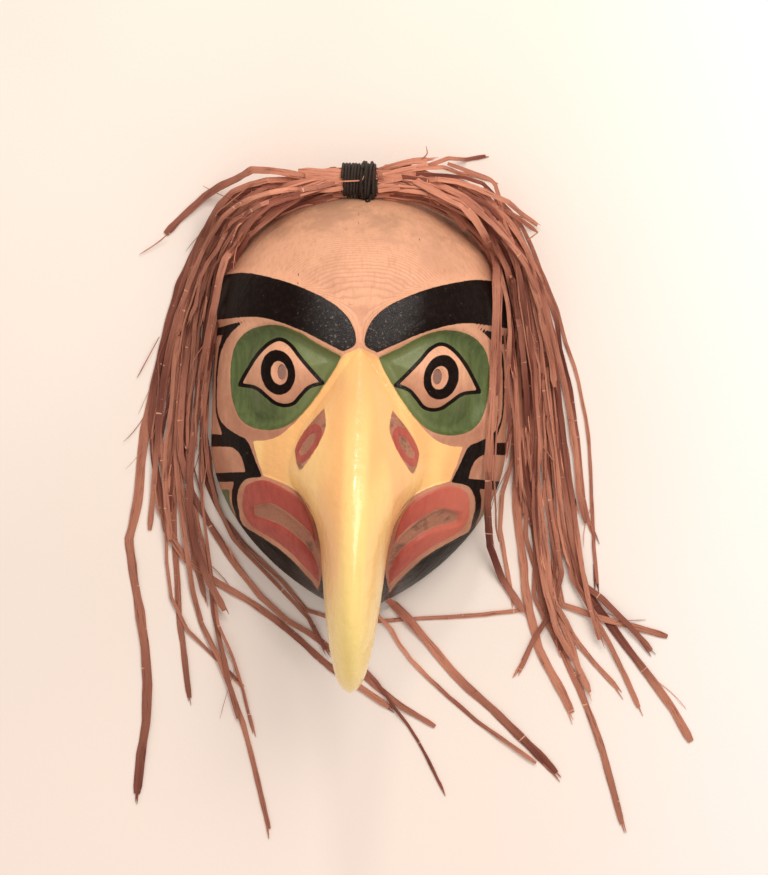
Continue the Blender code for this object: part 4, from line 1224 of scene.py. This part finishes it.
def build_bundle(material, leads):
    """The gathered strips on both sides of the binding, over a dark heart of packed bark."""
    strips = Strips()
    middle = bundle_middle()
    core = middle[::3]
    sizes = [bundle_section(x) for x in core[:, 0]]
    ring = 2 * math.pi * np.arange(12) / 12
    places = np.array([[(x, y + wide * 0.74 * math.cos(a), z + high * 0.74 * math.sin(a)) for a in ring]
                       for (x, y, z), (wide, high) in zip(core, sizes)])
    strips.keep(places, run_length(core), np.tile(ring * 0.004, (len(core), 1)), 3.0)
    for line, width, seed in leads:
        strips.strip(line, width, seed=seed, tips=(0.3, 1.0))
    for side in (-1, 1):
        mouth = BINDING_X + side * (BINDING_HALF - 0.002)
        for number in range(BUNDLE_STRANDS):
            angle = 2 * math.pi * (number + RANDOM.uniform(0, 0.9)) / BUNDLE_STRANDS
            end = BINDING_X + side * RANDOM.uniform(0.040, 0.098)
            line = bundle_line(middle, angle, RANDOM.uniform(0.84, 0.96), mouth, end)
            line = kinked(line, 0.0008)
            width = RANDOM.choice((0.0016, 0.0024, 0.0032, 0.0045))
            roll = np.full(len(line), side * (math.pi / 2 - angle)) + rolled(line, 0.25)
            seed = strips.strip(line, width, roll, tips=(1.0, 0.7))
            fray(strips, line, width, seed)
    for width, route in BUNDLE_PIECES:
        line = smooth_line([seen(x, y, z * MM) for x, y, z in route], 0.002)
        seed = strips.strip(line, width * MM, rolled(line, 0.10), sides=5, tips=(1.0, 0.85), curl=0.05)
        fray(strips, line, width * MM, seed)
    strips.piece("gathered_bark", material, "cedar_bark", "bark_bundle")


def on_binding(x, away, angle):
    """A point so far from the binding's middle line, at an angle from its top."""
    return (x, BINDING_Y + away * math.sin(angle), BINDING_Z + away * math.cos(angle))


def build_binding(material, bark):
    """Turns of twisted twine round the bundle, a crossing turn, the knot and its short tail."""
    cords = Strips()
    inner = BINDING_OUTER - 2 * TWINE_RADIUS - 0.0001
    turns = int(2 * BINDING_HALF / TWINE_PITCH)
    line = []
    for k in range(turns * TURN_STEPS + 1):
        angle = 2 * math.pi * k / TURN_STEPS
        turn = k / TURN_STEPS
        away = inner + TWINE_RADIUS + 0.0004 * noise.noise(Vector((turn * 0.9, 4.0, 0)))
        x = BINDING_X - BINDING_HALF + TWINE_RADIUS + (2 * BINDING_HALF - 2 * TWINE_RADIUS) * turn / turns
        x += 0.0005 * noise.noise(Vector((turn * 1.7, 9.0, 0)))
        line.append(on_binding(x, away, angle))
    cords.round_bar(line, TWINE_RADIUS)
    line = []
    for k in range(3 * TURN_STEPS + 1):
        angle = 2 * math.pi * k / TURN_STEPS + 0.6
        away = inner + 2.6 * TWINE_RADIUS + 0.0003 * noise.noise(Vector((k * 0.05, 14.0, 0)))
        x = BINDING_X + 0.0020 + 0.0030 * k / TURN_STEPS + 0.0011 * math.sin(angle * 0.5)
        line.append(on_binding(x, away, angle))
    cords.round_bar(line, TWINE_RADIUS * 0.95)
    away = BINDING_OUTER + TWINE_RADIUS
    tail = [(0.0010, 0.10), (0.0016, -0.35), (0.0022, -0.75), (0.0034, -1.15), (0.0046, -1.50)]
    line = [on_binding(BINDING_X + x, away + 0.0006, angle) for x, angle in tail]
    line.append((BINDING_X + 0.0058, BINDING_Y - away - 0.0026, BINDING_Z + 0.0070))
    line.append((BINDING_X + 0.0068, BINDING_Y - away - 0.0046, BINDING_Z + 0.0090))
    cords.round_bar(smooth_line(line, 0.0006), TWINE_RADIUS * 0.95)
    line = [(BINDING_X + 0.0095, BINDING_Y - away * 0.80, BINDING_Z + away * 0.62),
            (BINDING_X + 0.0082, BINDING_Y - away - 0.0010, BINDING_Z + 0.0074),
            (BINDING_X + 0.0062, BINDING_Y - away - 0.0040, BINDING_Z + 0.0086),
            (BINDING_X + 0.0098, BINDING_Y - away - 0.0042, BINDING_Z + 0.0090)]
    cords.round_bar(smooth_line(line, 0.0006), TWINE_RADIUS * 0.80)
    cords.piece("wound_twine", material, "black_cord", "binding")

    thread = Strips()
    top = BINDING_OUTER + 0.0004
    line = []
    for k in range(12):
        x = BINDING_X - BINDING_HALF - 0.001 + 0.0170 * k / 11
        angle = -0.20 + 0.09 * k / 11
        line.append(on_binding(x, top, angle))
    line.append((line[-1][0] + 0.0014, line[-1][1] + 0.0035, line[-1][2] + 0.0003))
    thread.strip(smooth_line(line, 0.0008), 0.0011, tips=(0.6, 0.4), curl=0.0, thickness=0.0005)
    thread.piece("caught_strip", bark, "cedar_bark")


def blended(first, second, share):
    """A line part of the way from one line to another."""
    return even_points(first, BLEND_STEPS) * (1 - share) + even_points(second, BLEND_STEPS) * share


def loose_strips(strips, lines, count, shortest, longest):
    """More strips of the same lock, each between two neighbours of it."""
    for _ in range(count):
        first = RANDOM.choice(lines)
        half = blended(first, first, 0)[:50]
        near = sorted(lines, key=lambda other: float(np.abs(blended(other, other, 0)[:50] - half).mean()))
        second = RANDOM.choice(near[1:6])
        line = blended(first, second, RANDOM.uniform(-0.1, 1.1))
        line[:, 2] += RANDOM.uniform(-0.006, 0.003)
        line = straight_line(line[::9], STEP_ALONG)
        cut = RANDOM.uniform(shortest, longest) * run_length(line)[-1]
        line = line[run_length(line) <= cut]
        line = resting(kinked(line, RANDOM.uniform(0.0008, 0.0028)), 0.0012)
        width = RANDOM.choice((0.0009, 0.0013, 0.0018, 0.0024, 0.0032, 0.0046))
        roll = rolled(line, 0.75, RANDOM.choice((0, 0, 1, 2)) if width < 0.004 else 0)
        seed = strips.strip(line, width, roll, tips=(1.0, 0.45))
        fray(strips, line, width, seed)


def loose_fibres(strips, lines, count):
    """Hair-thin fibres that stand off the strips."""
    for _ in range(count):
        line = RANDOM.choice(lines)
        first = RANDOM.randrange(8, max(9, len(line) - 8))
        start = line[first]
        onward = line[min(first + 3, len(line) - 1)] - line[first - 1]
        heading = math.atan2(onward[1], onward[0]) + RANDOM.uniform(-0.7, 0.7)
        bend = RANDOM.uniform(-18, 18)
        points = [start]
        for _ in range(RANDOM.randrange(6, 15)):
            heading += bend * STEP_ALONG
            last = points[-1]
            points.append((last[0] + STEP_ALONG * math.cos(heading), last[1] + STEP_ALONG * math.sin(heading),
                           max(0.0008, last[2] + RANDOM.uniform(-0.0012, 0.0010))))
        width = RANDOM.uniform(0.0003, 0.0006)
        if head_height(points[-1][0], points[-1][1]) > 0.05:
            continue
        strips.strip(resting(np.array(points), 0.0008), width, sides=2, thickness=0.0003,
                     tips=(0.8, 0.3), curl=0.0)


def build_strips(bark):
    """A finer strip for each packed one. Gives their leads into the bundle and the lines of both locks."""
    middle = bundle_middle()
    leads = []
    locks = {"left": [], "right": []}
    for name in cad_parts:
        if "strip" not in name:
            continue
        group = name.split("_")[0]
        middles, widths = strip_bends(name)
        width = float(widths[1:-1].mean())
        line = kinked(straight_line(middles, STEP_ALONG), 0.0008)
        line[:, 2] -= 0.5 * STRIP_TOP
        if group == "under":
            back = line[0] - line[3]
            line = np.vstack([line[0] + CHIN_REACH * back / np.linalg.norm(back), line])
        roll = rolled(line, 0.35) * smooth_step(run_length(line), 0.0, 0.02)
        seed = RANDOM.uniform(0, 100)
        from_start = 0.0
        start_tip = 0.6
        if group != "under":
            lead = lead_in(middle, line[0], 1 if line[0][0] > BINDING_X else -1)
            leads.append((np.vstack([lead, line[1:3]]), width, seed))
            from_start = run_length(lead)[-1]
            start_tip = 1.0
        if group in locks:
            locks[group].append(np.vstack([lead, line[1:]]))
        strips = Strips()
        strips.strip(line, width, roll, sides=5, seed=seed, from_start=from_start,
                     tips=(start_tip, 0.7), curl=0.03)
        fray(strips, line, width, seed)
        strips.piece("fine_" + name, bark, "cedar_bark", name)
    return leads, locks


def build_lock(bark, group, lines, inner, count, shortest, longest):
    """The finer strips and fibres of one lock, some of them between the lock and the head."""
    strips = Strips()
    loose_strips(strips, lines, count, shortest, longest)
    guide = smooth_line([seen(x, y, z * MM) for x, y, z in inner], 0.004)
    for number in range(INNER_STRIPS):
        other = RANDOM.choice(lines)
        cut = other[run_length(other) < run_length(guide)[-1] * 1.02]
        line = straight_line(blended(guide, cut, number / 10 * 0.8)[::9], STEP_ALONG)
        line = line[run_length(line) < RANDOM.uniform(0.62, 1.0) * run_length(line)[-1]]
        line = resting(kinked(line, 0.0012), 0.0012)
        width = RANDOM.choice((0.0016, 0.0024, 0.0034, 0.0045))
        seed = strips.strip(line, width, rolled(line, 0.5), tips=(1.0, 0.5))
        fray(strips, line, width, seed)
    loose_fibres(strips, lines, LOOSE_FIBRES)
    strips.piece("loose_bark_" + group, bark, "cedar_bark")


def build_threads(bark):
    """Single threads and shreds that stand off the locks."""
    threads = Strips()
    for width, route in THREADS:
        line = smooth_line([seen(x, y, z * MM) for x, y, z in route], 0.002)
        threads.strip(resting(line, 0.0008), width * MM, rolled(line, 0.5), tips=(0.8, 0.3), curl=0.0)
    threads.piece("loose_threads", bark, "cedar_bark")


# The stage

def add_light(name, kind, size, watts, colour, place, aim):
    """One lamp with soft edges, turned to the point it lights."""
    lamp = bpy.data.objects.new(name, bpy.data.lights.new(name, kind))
    bpy.context.scene.collection.objects.link(lamp)
    setattr(lamp.data, "size" if kind == "AREA" else "shadow_soft_size", size)
    lamp.data.energy = watts
    lamp.data.color = colour
    lamp.location = place
    lamp.rotation_euler = (Vector(aim) - lamp.location).to_track_quat("-Z", "Y").to_euler()


def set_stage():
    """Paper floor, camera, soft sky and lamps."""
    bpy.ops.mesh.primitive_plane_add(size=FLOOR_SIZE, location=(0, 0, 0))
    floor = bpy.context.object
    floor.name = "studio_floor"
    floor.data.materials.append(floor_look())

    camera = bpy.data.objects.new("camera", bpy.data.cameras.new("camera"))
    bpy.context.scene.collection.objects.link(camera)
    camera.location = (FACE_X + FRONT_VIEW_MIDDLE[0] * PART_X,
                       FACE_Y + FRONT_VIEW_MIDDLE[1] * PART_Y, FRONT_VIEW_DISTANCE)
    camera.rotation_euler = (0, 0, CAMERA_TURN)
    camera.data.sensor_width = SENSOR
    camera.data.lens = SENSOR * FRONT_VIEW_DISTANCE / (MM_PER_PIXEL * MM * PICTURE_HEIGHT)
    bpy.context.scene.camera = camera

    world = bpy.data.worlds.new("studio")
    bpy.context.scene.world = world
    world.use_nodes = True
    background = world.node_tree.nodes["Background"]
    background.inputs[0].default_value = SKY_COLOUR
    background.inputs[1].default_value = SKY_STRENGTH
    for lamp in LAMPS:
        add_light(*lamp)
    bpy.context.scene.view_settings.view_transform = "Standard"


def main():
    build_mask(mask_look())
    bark = bark_look()
    leads, locks = build_strips(bark)
    build_bundle(bark, leads)
    build_binding(cord_look(), bark)
    build_lock(bark, "left", locks["left"], LEFT_INNER, count=34, shortest=0.40, longest=0.78)
    build_lock(bark, "right", locks["right"], RIGHT_INNER, count=50, shortest=0.45, longest=1.0)
    build_threads(bark)
    set_stage()


main()
